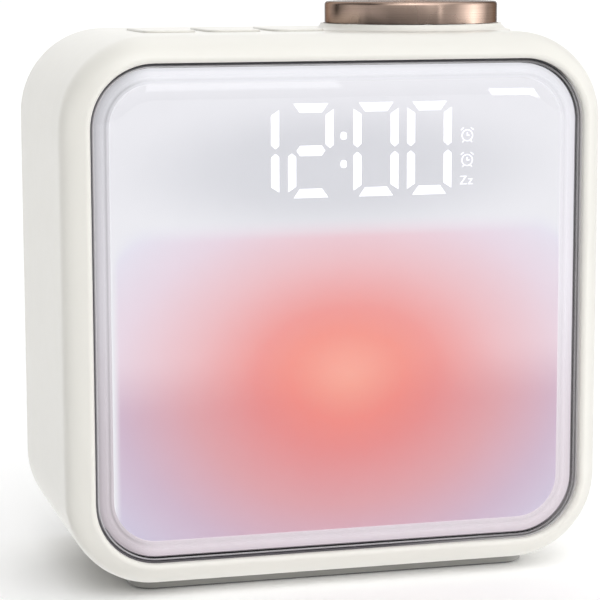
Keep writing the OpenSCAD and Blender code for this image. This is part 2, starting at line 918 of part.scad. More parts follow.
module door_screw() {
    color("silver")
    screw_v(cell_x, door_screw_z, small_screw_r, cover_v - 4, cover_v + cover_t - door_head_t - 0.05,
        small_head_r, door_head_t);
}

// ---- power inlet ----

module inlet_board() {
    color("darkgreen")
    difference() {
        block([inlet_x - inlet_board_size[0] / 2, inlet_x + inlet_board_size[0] / 2],
            [inlet_v - inlet_board_size[1], inlet_v],
            [inlet_board_top - inlet_board_t, inlet_board_top]);
        for (sx = [-1, 1])
            rod_z(inlet_x + sx * inlet_screw_x, inlet_screw_v, frame_screw_r + clear,
                inlet_board_top - 2, inlet_board_top + 1);
    }
}

// Outline of a flat socket with round ends, seen from behind
module inlet_outline(shrink) {
    w = inlet_w - 2 * shrink;
    h = inlet_h - 2 * shrink;
    square([w - h, h], center = true);
    for (sx = [-1, 1])
        translate([sx * (w - h) / 2, 0]) circle(h / 2);
}

module inlet_socket() {
    color("silver")
    translate([inlet_x, 0, inlet_z]) {
        slab(inlet_v - inlet_depth, cover_v + cover_t - 0.4)
            difference() {
                inlet_outline(0);
                inlet_outline(inlet_wall);
            }
        slab(inlet_v - inlet_depth, inlet_v - inlet_depth + 1) inlet_outline(0.1);
        slab(inlet_v - inlet_depth, inlet_v + 1) square([6.6, 0.7], center = true);
    }
}

module inlet_board_screws() {
    color("silver")
    turned_z(inlet_board_top)
        for (sx = [-1, 1])
            screw_up(inlet_x + sx * inlet_screw_x, inlet_screw_v, frame_screw_r, inlet_board_top + 3.4,
                inlet_board_top, frame_head_r, frame_head_t);
}

// ---- buttons ----

// Upright prism with the outline of a button
module button_prism(x, grow, z0, z1) {
    translate([x, front_y + knob_v, centre_z + z0])
        linear_extrude(z1 - z0)
            rounded_rect(button_w + 2 * grow, button_d + 2 * grow, button_r + grow);
}

module button(x) {
    color("ivory") {
        button_prism(x, 0, button_flange_z, half_h + button_rise);
        button_prism(x, button_gap + button_flange, button_flange_z, button_flange_z + button_flange_t);
        rod_z(x, knob_v, plunger_r, plunger_top, button_flange_z + 0.5);
    }
}

module plunger(x) {
    color("dimgray") rod_z(x, knob_v, plunger_r, plunger_top - plunger_h, plunger_top);
}

module button_left() { button(button_xs[0]); }
module button_middle() { button(button_xs[1]); }
module button_right() { button(button_xs[2]); }
module plunger_left() { plunger(button_xs[0]); }
module plunger_middle() { plunger(button_xs[1]); }
module plunger_right() { plunger(button_xs[2]); }

module tact_switches() {
    well_floor = plunger_top - plunger_h - button_travel - 0.3;
    color("darkslategray")
    for (x = button_xs)
        difference() {
            block([x - switch_w / 2, x + switch_w / 2],
                [knob_v - switch_w / 2, knob_v + switch_w / 2],
                [switch_z, switch_z + switch_h]);
            rod_z(x, knob_v, plunger_r + clear, well_floor, switch_z + switch_h + 1);
        }
}

module key_board() {
    color("darkgreen")
    difference() {
        block(key_board_x, key_board_v, [key_board_z, key_board_z + key_board_t]);
        for (p = key_posts)
            rod_z(p[0], p[1], small_screw_r + clear, key_board_z - 1, switch_z + 1);
    }
}

module key_board_screws() {
    color("silver")
    for (p = key_posts)
        screw_up(p[0], p[1], small_screw_r, switch_z + 4, key_board_z, small_head_r, small_head_t);
}

// ---- encoder and knob ----

module encoder_body() {
    color("silver")
    difference() {
        block([knob_x - encoder_w / 2, knob_x + encoder_w / 2],
            [knob_v - encoder_d / 2, knob_v + encoder_d / 2],
            [encoder_bottom, top_in]);
        rod_z(knob_x, knob_v, cavity_r, cavity[0], cavity[1]);
        rod_z(knob_x, knob_v, bush_r, cavity[1] - 0.5, top_in + 1);
    }
}

module encoder_bush() {
    color("goldenrod")
    difference() {
        rod_z(knob_x, knob_v, bush_r, cavity[1], bush_top);
        rod_z(knob_x, knob_v, shaft_r + clear, cavity[1] - 1, bush_top + 1);
    }
}

module encoder_washer() {
    color("silver")
    difference() {
        rod_z(knob_x, knob_v, 6, nut_floor, nut_floor + washer_t);
        rod_z(knob_x, knob_v, bush_r + clear, nut_floor - 1, nut_floor + 2);
    }
}

module encoder_nut() {
    color("silver")
    translate([knob_x, front_y + knob_v, centre_z + nut_floor + washer_t])
        difference() {
            cylinder(r = nut_r, h = nut_t, $fn = 6);
            translate([0, 0, -1]) cylinder(r = bush_r + clear, h = nut_t + 2);
        }
}

// Round pin with one flat, which turns the rotor
module flat_spigot(grow, z0, z1) {
    difference() {
        rod_z(knob_x, knob_v, spigot_r + grow, z0, z1);
        block([knob_x + spigot_flat + grow, knob_x + 2 * spigot_r],
            [knob_v - 2 * spigot_r, knob_v + 2 * spigot_r], [z0 - 1, z1 + 1]);
    }
}

module encoder_rotor() {
    color("whitesmoke")
    difference() {
        rod_z(knob_x, knob_v, rotor_r, rotor_z, rotor_z + rotor_t);
        flat_spigot(clear, rotor_z - 1, rotor_z + rotor_t + 1);
    }
}

module encoder_shaft() {
    color("silver") {
        flat_spigot(0, spigot_z, shoulder_z + 0.5);
        rod_z(knob_x, knob_v, shaft_r, shoulder_z, shaft_top);
    }
}

module knob_hub() {
    disc_top = half_h + knob_top - knob_wall;
    color("dimgray")
    knob_turned()
        difference() {
            union() {
                translate([0, hub_bottom]) square([hub_r, disc_top - hub_bottom]);
                translate([0, disc_top - hub_disc_t]) square([knob_r - knob_wall, hub_disc_t]);
            }
            translate([-1, hub_bottom - 1]) square([shaft_r + 1, shaft_top - hub_bottom + 1]);
        }
}

module knob_shell() {
    top = half_h + knob_top;
    color("rosybrown")
    knob_turned()
        difference() {
            union() {
                translate([0, knob_bottom]) square([knob_r, top - knob_edge_r - knob_bottom]);
                translate([0, knob_bottom]) square([knob_r - knob_edge_r, top - knob_bottom]);
                intersection() {
                    translate([knob_r - knob_edge_r, top - knob_edge_r]) circle(knob_edge_r);
                    translate([0, knob_bottom]) square([knob_r, top - knob_bottom]);
                }
            }
            translate([-1, knob_bottom - 1])
                square([knob_r - knob_wall + 1, top - knob_wall - knob_bottom + 1]);
        }
}

// ---- flat leads ----

module light_lead() {
    color("white") panel(0, light_lead_z, [lead_w, lead_t], tray_plate_v, main_v);
}

module display_lead() {
    color("white") panel(0, display_lead_z, [lead_w, lead_t], display_back + board_t, main_v);
}

module key_lead() {
    xs = [key_lead_x - lead_w / 2, key_lead_x + lead_w / 2];
    color("white") {
        block(xs, [key_lead_v, key_lead_v + lead_t], [key_lead_z, key_board_z]);
        block(xs, [main_v + board_t, key_lead_v + lead_t], [key_lead_z, key_lead_z + lead_t]);
    }
}

module speaker_lead() {
    back = speaker_v - basket_depth - magnet_t;
    color("firebrick")
    for (s = [-1, 1])
        rod_v(speaker_x + s * 1.2, speaker_z - 8, 0.7, main_v + board_t, back);
}

module inlet_lead() {
    color("firebrick")
    for (s = [-1, 1])
        rod_v(inlet_x + s * 1.2, inlet_board_top - inlet_board_t / 2, 0.5, main_v + board_t,
            inlet_v - inlet_board_size[1]);
}

housing_shell();
foot_plinth();
foot_pad();
foot_screws();
lens_cover();
lens_gasket();
diffuser();
light_tray();
tray_screws();
sunrise_board();
sunrise_lamps();
sunrise_board_screws();
display_housing();
display_board();
display_segments();
main_board();
main_chip();
board_capacitors();
main_board_screws();
rear_cover();
cover_screws();
speaker_gasket();
speaker_frame();
speaker_cone();
speaker_magnet();
cell_holder();
coin_cell();
battery_door();
door_screw();
inlet_board();
inlet_socket();
inlet_board_screws();
key_board();
key_board_screws();
tact_switches();
button_left();
button_middle();
button_right();
plunger_left();
plunger_middle();
plunger_right();
encoder_body();
encoder_bush();
encoder_washer();
encoder_nut();
encoder_rotor();
encoder_shaft();
knob_hub();
knob_shell();
light_lead();
display_lead();
key_lead();
speaker_lead();
inlet_lead();
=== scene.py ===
"""Looks of the sunrise alarm clock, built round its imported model.

Every size is in metres, in the model's own frame: +Z up, the light panel faces -Y, and the origin
is the middle of the footprint. Each sub-assembly's class holds its sizes and builds the pieces
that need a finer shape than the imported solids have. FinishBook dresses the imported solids.
"""

import json
import logging
import math
from dataclasses import dataclass, field
from enum import Enum
from typing import Any, Dict, Iterable, List, Optional, Sequence, Tuple

import bmesh
import bpy
from mathutils import Matrix, Vector

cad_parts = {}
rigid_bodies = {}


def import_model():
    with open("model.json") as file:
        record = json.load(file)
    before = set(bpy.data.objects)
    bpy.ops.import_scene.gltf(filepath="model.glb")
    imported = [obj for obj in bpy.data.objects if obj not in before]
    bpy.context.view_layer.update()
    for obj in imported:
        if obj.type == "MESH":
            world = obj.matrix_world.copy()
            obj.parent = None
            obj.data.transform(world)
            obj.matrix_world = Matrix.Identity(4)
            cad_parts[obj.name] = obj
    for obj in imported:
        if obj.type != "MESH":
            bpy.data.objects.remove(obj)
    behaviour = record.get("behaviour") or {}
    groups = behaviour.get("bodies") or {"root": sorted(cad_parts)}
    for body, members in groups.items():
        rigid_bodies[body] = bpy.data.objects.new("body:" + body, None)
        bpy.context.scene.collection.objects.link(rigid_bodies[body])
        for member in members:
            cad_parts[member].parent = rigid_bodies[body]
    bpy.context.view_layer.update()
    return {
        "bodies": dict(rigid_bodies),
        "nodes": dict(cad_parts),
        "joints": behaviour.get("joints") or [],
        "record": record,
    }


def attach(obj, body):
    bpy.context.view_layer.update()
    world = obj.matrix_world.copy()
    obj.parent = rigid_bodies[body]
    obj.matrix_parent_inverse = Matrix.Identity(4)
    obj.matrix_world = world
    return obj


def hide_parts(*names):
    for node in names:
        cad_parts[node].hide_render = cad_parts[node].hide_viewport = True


LOG = logging.getLogger("sunrise_clock")
MM = 0.001

Point = Tuple[float, float, float]
Pair = Tuple[float, float]
Colour = Tuple[float, float, float, float]
Socket = bpy.types.NodeSocket
Edges = List[bmesh.types.BMEdge]

WHITE: Colour = (1.0, 1.0, 1.0, 1.0)


class Body(Enum):
    """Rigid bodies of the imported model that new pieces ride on."""

    HOUSING = "housing"
    KNOB = "knob"
    BUTTON_LEFT = "button_left"
    BUTTON_MIDDLE = "button_middle"
    BUTTON_RIGHT = "button_right"


@dataclass(frozen=True)
class Case:
    """The clock's main sizes, shared by its sub-assemblies."""

    width: float = 143.5 * MM
    height: float = 140.5 * MM
    depth: float = 75.0 * MM
    corner: float = 23.0 * MM
    foot: float = 2.6 * MM

    @property
    def front(self) -> float:
        """Place of the front crest along y."""
        return -self.depth / 2

    @property
    def middle(self) -> float:
        """Height of the housing's middle."""
        return self.foot + self.height / 2

    @property
    def top(self) -> float:
        """Height of the housing's top."""
        return self.foot + self.height


@dataclass(frozen=True)
class Tone:
    """A colour as it looks on a screen, each channel from 0 to 255."""

    red: float
    green: float
    blue: float

    def linear(self, gain: float = 1.0, lift: float = 0.0) -> Colour:
        """Turns the colour into linear light.

        Args:
            gain: How much brighter it is made.
            lift: What each channel gains after that.

        Returns:
            Red, green and blue, each at most 1, and full alpha.
        """

        def channel(value: float) -> float:
            """Returns one channel in linear light."""
            v = value / 255.0
            return v / 12.92 if v <= 0.04045 else ((v + 0.055) / 1.055) ** 2.4

        red, green, blue = (min(1.0, channel(v) * gain + lift) for v in (self.red, self.green, self.blue))
        return (red, green, blue, 1.0)


@dataclass(frozen=True)
class Noise:
    """Cloudy noise: repeats per metre, octaves, and the share of the finer octaves."""

    scale: float
    detail: float = 2.0
    rough: float = 0.5


# ---------------------------------------------------------------- materials


class Wiring:
    """Makes and joins the nodes of one tree."""

    def __init__(self, tree: bpy.types.NodeTree) -> None:
        """Empties the tree.

        Args:
            tree: The tree that is laid out.
        """
        self.tree = tree
        self.tree.nodes.clear()

    def link(self, source: Socket, target: Socket) -> None:
        """Joins two sockets."""
        self.tree.links.new(source, target)

    def feed(self, target: Socket, value: Any) -> None:
        """Sets or joins a socket.

        Args:
            target: The input socket.
            value: A socket to join, or a plain value to set.
        """
        if isinstance(value, bpy.types.NodeSocket):
            self.link(value, target)
        else:
            target.default_value = value

    def math(
        self, operation: str, first: Any, second: Any = 0.0, third: Any = 0.0, clamp: bool = False
    ) -> Socket:
        """Adds a sum.

        Args:
            operation: Blender's name of the operation.
            first: First value or socket.
            second: Second value or socket.
            third: Third value or socket.
            clamp: Whether the result is held between 0 and 1.

        Returns:
            The result's socket.
        """
        node = self.tree.nodes.new("ShaderNodeMath")
        node.operation = operation
        node.use_clamp = clamp
        for socket, value in zip(node.inputs, (first, second, third)):
            self.feed(socket, value)
        return node.outputs[0]

    def length(self, first: Any, second: Any) -> Socket:
        """Works out the long side of a right angle.

        Args:
            first: One short side.
            second: The other.

        Returns:
            The long side's socket.
        """
        squares = [self.math("MULTIPLY", value, value) for value in (first, second)]
        return self.math("SQRT", self.math("ADD", *squares))

    def split(self, source: Socket) -> List[Socket]:
        """Takes a vector apart.

        Args:
            source: The vector.

        Returns:
            Its x, y and z.
        """
        node = self.tree.nodes.new("ShaderNodeSeparateXYZ")
        self.link(source, node.inputs[0])
        return list(node.outputs)

    def spread(
        self, value: Any, low: Any, high: Any, to_low: Any = 0.0, to_high: Any = 1.0, smooth: bool = False
    ) -> Socket:
        """Maps one range to another.

        Args:
            value: The value or socket that is mapped.
            low: Start of the range it comes from.
            high: End of the range it comes from.
            to_low: Result at low.
            to_high: Result at high.
            smooth: Whether the ends are eased.

        Returns:
            The mapped value's socket.
        """
        node = self.tree.nodes.new("ShaderNodeMapRange")
        node.interpolation_type = "SMOOTHSTEP" if smooth else "LINEAR"
        node.clamp = True
        names = ("Value", "From Min", "From Max", "To Min", "To Max")
        for name, v in zip(names, (value, low, high, to_low, to_high)):
            self.feed(node.inputs[name], v)
        return node.outputs[0]

    def ramp(self, share: Socket, stops: Sequence[Tuple[float, Colour]]) -> Socket:
        """Runs a value through a row of colours.

        Args:
            share: Value from 0 to 1.
            stops: Place and colour of each stop, between which the colour changes evenly.

        Returns:
            The colour's socket.
        """
        node = self.tree.nodes.new("ShaderNodeValToRGB")
        row = node.color_ramp
        row.interpolation = "LINEAR"
        while len(row.elements) < len(stops):
            row.elements.new(0.5)
        for element, (place, _) in zip(row.elements, stops):
            element.position = place
        for element, (_, colour) in zip(row.elements, stops):
            element.color = colour
        self.link(share, node.inputs[0])
        return node.outputs[0]


class Bench(Wiring):
    """Lays out one node material round its main shader."""

    def __init__(self, name: str) -> None:
        """Starts an empty material.

        Args:
            name: The material's name.
        """
        self.material = bpy.data.materials.new(name)
        self.material.use_nodes = True
        super().__init__(self.material.node_tree)
        output = self.tree.nodes.new("ShaderNodeOutputMaterial")
        self.shader = self.tree.nodes.new("ShaderNodeBsdfPrincipled")
        self.link(self.shader.outputs[0], output.inputs["Surface"])
        self.places = self.tree.nodes.new("ShaderNodeTexCoord").outputs["Object"]

    def set(self, **values: Any) -> None:
        """Sets or joins inputs of the main shader, by name with _ for a space."""
        for name, value in values.items():
            self.feed(self.shader.inputs[name.replace("_", " ")], value)

    def axes(self) -> List[Socket]:
        """Returns the x, y and z of the place, in metres."""
        return self.split(self.places)

    def inset(self, case: Case) -> Socket:
        """Works out how far a place lies inside the housing's rounded outline.

        Args:
            case: The housing's sizes.

        Returns:
            The inset's socket, in metres.
        """
        x, _, z = self.axes()
        beyond = []
        for value, middle, half in ((x, 0.0, case.width / 2), (z, case.middle, case.height / 2)):
            away = self.math("ABSOLUTE", self.math("SUBTRACT", value, middle))
            beyond.append(self.math("SUBTRACT", away, half - case.corner))
        round_part = self.length(*(self.math("MAXIMUM", value, 0.0) for value in beyond))
        flat_part = self.math("MINIMUM", self.math("MAXIMUM", *beyond), 0.0)
        return self.math("SUBTRACT", case.corner, self.math("ADD", round_part, flat_part))

    def stretched(self, scale: Point) -> Socket:
        """Stretches the pattern that reads it.

        Args:
            scale: How many times the place is multiplied along x, y and z.

        Returns:
            The stretched place's socket.
        """
        node = self.tree.nodes.new("ShaderNodeMapping")
        self.link(self.places, node.inputs["Vector"])
        node.inputs["Scale"].default_value = scale
        return node.outputs[0]

    def noise(self, kind: Noise, at: Optional[Socket] = None) -> Socket:
        """Adds cloudy noise.

        Args:
            kind: The noise's scale and octaves.
            at: Where it is read, or the place.

        Returns:
            The noise's socket, near 0.5 on average.
        """
        node = self.tree.nodes.new("ShaderNodeTexNoise")
        for name, value in (("Scale", kind.scale), ("Detail", kind.detail), ("Roughness", kind.rough)):
            node.inputs[name].default_value = value
        self.link(at or self.places, node.inputs["Vector"])
        return node.outputs[0]

    def grade(self, noise: Socket, to_low: Any = 0.0, to_high: Any = 1.0, margin: float = 0.3) -> Socket:
        """Spreads the usual range of a noise over another range.

        Args:
            noise: The noise.
            to_low: Result at the usual range's start.
            to_high: Result at its end.
            margin: How far the usual range lies inside 0 and 1.

        Returns:
            The graded noise's socket.
        """
        return self.spread(noise, margin, 1.0 - margin, to_low, to_high)

    def cells(self, scale: float) -> Socket:
        """Adds a cell pattern.

        Args:
            scale: Cells per metre.

        Returns:
            The distance to each cell's middle, in cells.
        """
        node = self.tree.nodes.new("ShaderNodeTexVoronoi")
        node.inputs["Scale"].default_value = scale
        self.link(self.places, node.inputs["Vector"])
        return node.outputs["Distance"]

    def blend(self, share: Any, first: Any, second: Any) -> Socket:
        """Mixes two colours.

        Args:
            share: Share of the second colour.
            first: Colour or socket at 0.
            second: Colour or socket at 1.

        Returns:
            The mixed colour's socket.
        """
        node = self.tree.nodes.new("ShaderNodeMix")
        node.data_type = "RGBA"
        sockets = [s for s in node.inputs if s.type == "RGBA"]
        self.feed(node.inputs[0], share)
        self.feed(sockets[0], first)
        self.feed(sockets[1], second)
        return next(s for s in node.outputs if s.type == "RGBA")

    def bumps(self, height: Socket, depth: float) -> None:
        """Raises the surface by a height pattern.

        Args:
            height: Pattern from 0 to 1.
            depth: Height of a full step, in metres.
        """
        node = self.tree.nodes.new("ShaderNodeBump")
        node.inputs["Strength"].default_value = 1.0
        node.inputs["Distance"].default_value = depth
        self.link(height, node.inputs["Height"])
        self.link(node.outputs[0], self.shader.inputs["Normal"])


@dataclass(frozen=True)
class Finish:
    """A finish that can be laid on pieces."""

    name: str

    def material(self) -> bpy.types.Material:
        """Makes the finish's material, once.

        Returns:
            The material.
        """
        own_name = self.name + "_finish"
        found = bpy.data.materials.get(own_name)
        if found is None:
            bench = Bench(own_name)
            self.lay_out(bench)
            found = bench.material
        return found

    def lay_out(self, bench: Bench) -> None:
        """Lays out the nodes on the bench; each finish has its own way."""
        raise NotImplementedError

    def dress(self, piece: bpy.types.Object) -> None:
        """Puts the finish on a piece in place of what it had."""
        piece.data.materials.clear()
        piece.data.materials.append(self.material())


@dataclass(frozen=True)
class MouldedPlastic(Finish):
    """Moulded plastic with faint flow clouds and a fine spark-eroded grain."""

    tone: Tone
    roughness: float
    cloud: float
    grain_scale: float = 2600.0
    grain_depth: float = 0.006 * MM
    light_share: float = 0.6
    flow: Noise = Noise(28.0, 3.0, 0.55)
    polish: Noise = Noise(240.0, 3.0)
    roughness_spread: Pair = (-0.03, 0.04)

    def lay_out(self, bench: Bench) -> None:
        """Lays out the clouds, the polish and the grain.

        Args:
            bench: Where the nodes are made.
        """
        dark = self.tone.linear(1.0 - self.cloud)
        light = self.tone.linear(1.0 + self.cloud * self.light_share)
        smooth, dull = (self.roughness + change for change in self.roughness_spread)
        bench.set(
            Base_Color=bench.blend(bench.grade(bench.noise(self.flow)), dark, light),
            Roughness=bench.grade(bench.noise(self.polish), smooth, dull, margin=0.25),
        )
        bench.bumps(bench.noise(Noise(self.grain_scale, 2.0, 0.6)), self.grain_depth)


@dataclass(frozen=True)
class TurnedMetal(Finish):
    """Turned and anodised metal with fine rings round an upright axis."""

    tone: Tone
    axis: Pair
    roughness: float = 0.26
    roughness_spread: Pair = (-0.03, 0.05)
    anisotropy: float = 0.9
    across_the_rings: float = 0.25
    edge_tint: Colour = (0.2, 0.18, 0.17, 1.0)
    ring_contrast: Pair = (0.9, 1.06)
    ring_noise: Noise = Noise(5200.0, 3.0, 0.6)
    ring_depth: float = 0.0025 * MM
    wear: Noise = Noise(90.0, 3.0)

    def lay_out(self, bench: Bench) -> None:
        """Lays out the rings and the way they stretch a reflection.

        Args:
            bench: Where the nodes are made.
        """
        x, y, z = bench.axes()
        radius = bench.length(*(bench.math("SUBTRACT", value, at) for value, at in zip((x, y), self.axis)))
        rings = bench.tree.nodes.new("ShaderNodeCombineXYZ")
        bench.link(radius, rings.inputs[0])
        bench.link(z, rings.inputs[2])
        lines = bench.noise(self.ring_noise, rings.outputs[0])
        dark, light = (self.tone.linear(gain) for gain in self.ring_contrast)
        smooth, dull = (self.roughness + change for change in self.roughness_spread)
        tangent = bench.tree.nodes.new("ShaderNodeTangent")
        tangent.direction_type = "RADIAL"
        tangent.axis = "Z"
        bench.set(
            Base_Color=bench.blend(bench.grade(lines, margin=0.35), dark, light),
            Roughness=bench.grade(bench.noise(self.wear), smooth, dull),
            Metallic=1.0,
            Specular_Tint=self.edge_tint,
            Anisotropic=self.anisotropy,
            Anisotropic_Rotation=self.across_the_rings,
            Tangent=tangent.outputs[0],
        )
        bench.bumps(lines, self.ring_depth)


@dataclass(frozen=True)
class PlainMetal(Finish):
    """Bright small metal parts with fine scratches."""

    tone: Tone
    roughness: float
    roughness_spread: Pair = (-0.05, 0.1)
    scratch: Noise = Noise(900.0, 4.0, 0.65)
    scratch_stretch: Point = (1.0, 1.0, 6.0)
    scratch_shade: float = 0.82
    scratch_depth: float = 0.004 * MM

    def lay_out(self, bench: Bench) -> None:
        """Lays out the scratches.

        Args:
            bench: Where the nodes are made.
        """
        scratches = bench.noise(self.scratch, bench.stretched(self.scratch_stretch))
        smooth, dull = (self.roughness + change for change in self.roughness_spread)
        dark = self.tone.linear(self.scratch_shade)
        bench.set(
            Base_Color=bench.blend(bench.grade(scratches, margin=0.35), dark, self.tone.linear()),
            Roughness=bench.grade(scratches, smooth, dull),
            Metallic=1.0,
        )
        bench.bumps(scratches, self.scratch_depth)


@dataclass(frozen=True)
class SoftRubber(Finish):
    """Matt rubber with a fine crumb."""

    tone: Tone
    bloom: Pair = (1.35, 0.002)
    mottle: Noise = Noise(120.0, 3.0)
    crumb: Noise = Noise(3200.0, 3.0, 0.6)
    crumb_depth: float = 0.01 * MM
    roughness: Pair = (0.72, 0.86)
    shine: float = 0.3

    def lay_out(self, bench: Bench) -> None:
        """Lays out the mottling and the crumb.

        Args:
            bench: Where the nodes are made.
        """
        crumb = bench.noise(self.crumb)
        mottled = bench.grade(bench.noise(self.mottle))
        bench.set(
            Base_Color=bench.blend(mottled, self.tone.linear(), self.tone.linear(*self.bloom)),
            Roughness=bench.grade(crumb, *self.roughness),
            Specular_IOR_Level=self.shine,
        )
        bench.bumps(crumb, self.crumb_depth)


@dataclass(frozen=True)
class LipRubber(Finish):
    """Soft lip round the lens, darker at the top with painted shade and paler to the right with painted
    light.
    """

    # dark is painted shade for the top and pale is painted light for the right side.
    dark: Tone
    middle: Tone
    pale: Tone
    painted_light_along: Pair = (12.0 * MM, 60.0 * MM)
    painted_shade_above: Pair = (128.0 * MM, 134.0 * MM)
    grain: Noise = Noise(900.0)
    grain_depth: float = 0.015 * MM
    roughness: Pair = (0.42, 0.55)
    bloom: float = 0.05

    def lay_out(self, bench: Bench) -> None:
        """Lays out the painted light along x, the painted shade at the top and the grain.

        Args:
            bench: Where the nodes are made.
        """
        x, _, z = bench.axes()
        painted_side_light = bench.blend(bench.spread(x, *self.painted_light_along), self.middle.linear(), self.pale.linear())
        shade = bench.spread(z, *self.painted_shade_above, smooth=True)
        grain = bench.noise(self.grain)
        bench.set(
            Base_Color=bench.blend(shade, painted_side_light, self.dark.linear()),
            Roughness=bench.grade(grain, *self.roughness),
            Sheen_Weight=self.bloom,
        )
        bench.bumps(grain, self.grain_depth)


@dataclass(frozen=True)
class ClearPlastic(Finish):
    """Polished clear plastic with the faintest moulding waves and a tightly rounded edge painted grey:
    painted shade of the recess round the lens.

    The edge's tones run inwards, evenly spaced over the stretch of inset given by edge.
    """

    tone: Tone
    case: Case
    edge: Pair = (7.1 * MM, 7.9 * MM)
    edge_places: Point = (0.0, 0.5, 1.0)
    # The edge greys are painted light and shade: lit greys on the left, shaded greys on the right.
    lit_edge: Tuple[Tone, ...] = (Tone(165, 163, 167), Tone(205, 203, 207), Tone(222, 220, 224))
    shaded_edge: Tuple[Tone, ...] = (Tone(205, 203, 204), Tone(165, 163, 166), Tone(95, 93, 98))
    shaded_along: Pair = (20.0 * MM, 55.0 * MM)
    clear_from: float = 0.7
    waves: Noise = Noise(35.0, 2.0, 0.4)
    wave_shade: float = 0.985
    wave_depth: float = 0.01 * MM
    polish: Noise = Noise(160.0, 3.0)
    roughness: Pair = (0.0048, 0.012)
    bending: float = 1.49

    def lay_out(self, bench: Bench) -> None:
        """Lays out the waves and the edge's painted light and shade.

        Args:
            bench: Where the nodes are made.
        """
        x, _, _ = bench.axes()
        waves = bench.noise(self.waves)
        rounding = bench.spread(bench.inset(self.case), *self.edge)
        clear = bench.spread(rounding, self.clear_from, 1.0, smooth=True)
        rows = ([tone.linear() for tone in row] for row in (self.lit_edge, self.shaded_edge))
        edges = [bench.ramp(rounding, list(zip(self.edge_places, row))) for row in rows]
        edge = bench.blend(bench.spread(x, *self.shaded_along, smooth=True), *edges)
        body = bench.blend(waves, self.tone.linear(self.wave_shade), self.tone.linear())
        bench.set(
            Base_Color=bench.blend(clear, edge, body),
            Roughness=bench.grade(bench.noise(self.polish), *self.roughness),
            Transmission_Weight=clear,
            IOR=self.bending,
        )
        bench.bumps(waves, self.wave_depth)


FADE_PLACES = (0.0, 0.2, 0.32, 0.56, 0.8, 1.0)


@dataclass(frozen=True)
class Fade:
    """Tones of the sunrise from its core outwards."""

    core: Tone
    ember: Tone
    coral: Tone
    rose: Tone
    blush: Tone
    haze: Tone

    def stops(self) -> List[Tuple[float, Colour]]:
        """Places the tones.

        Returns:
            Share of the way out and colour of each tone.
        """
        tones = (self.core, self.ember, self.coral, self.rose, self.blush, self.haze)
        return [(place, tone.linear()) for place, tone in zip(FADE_PLACES, tones)]


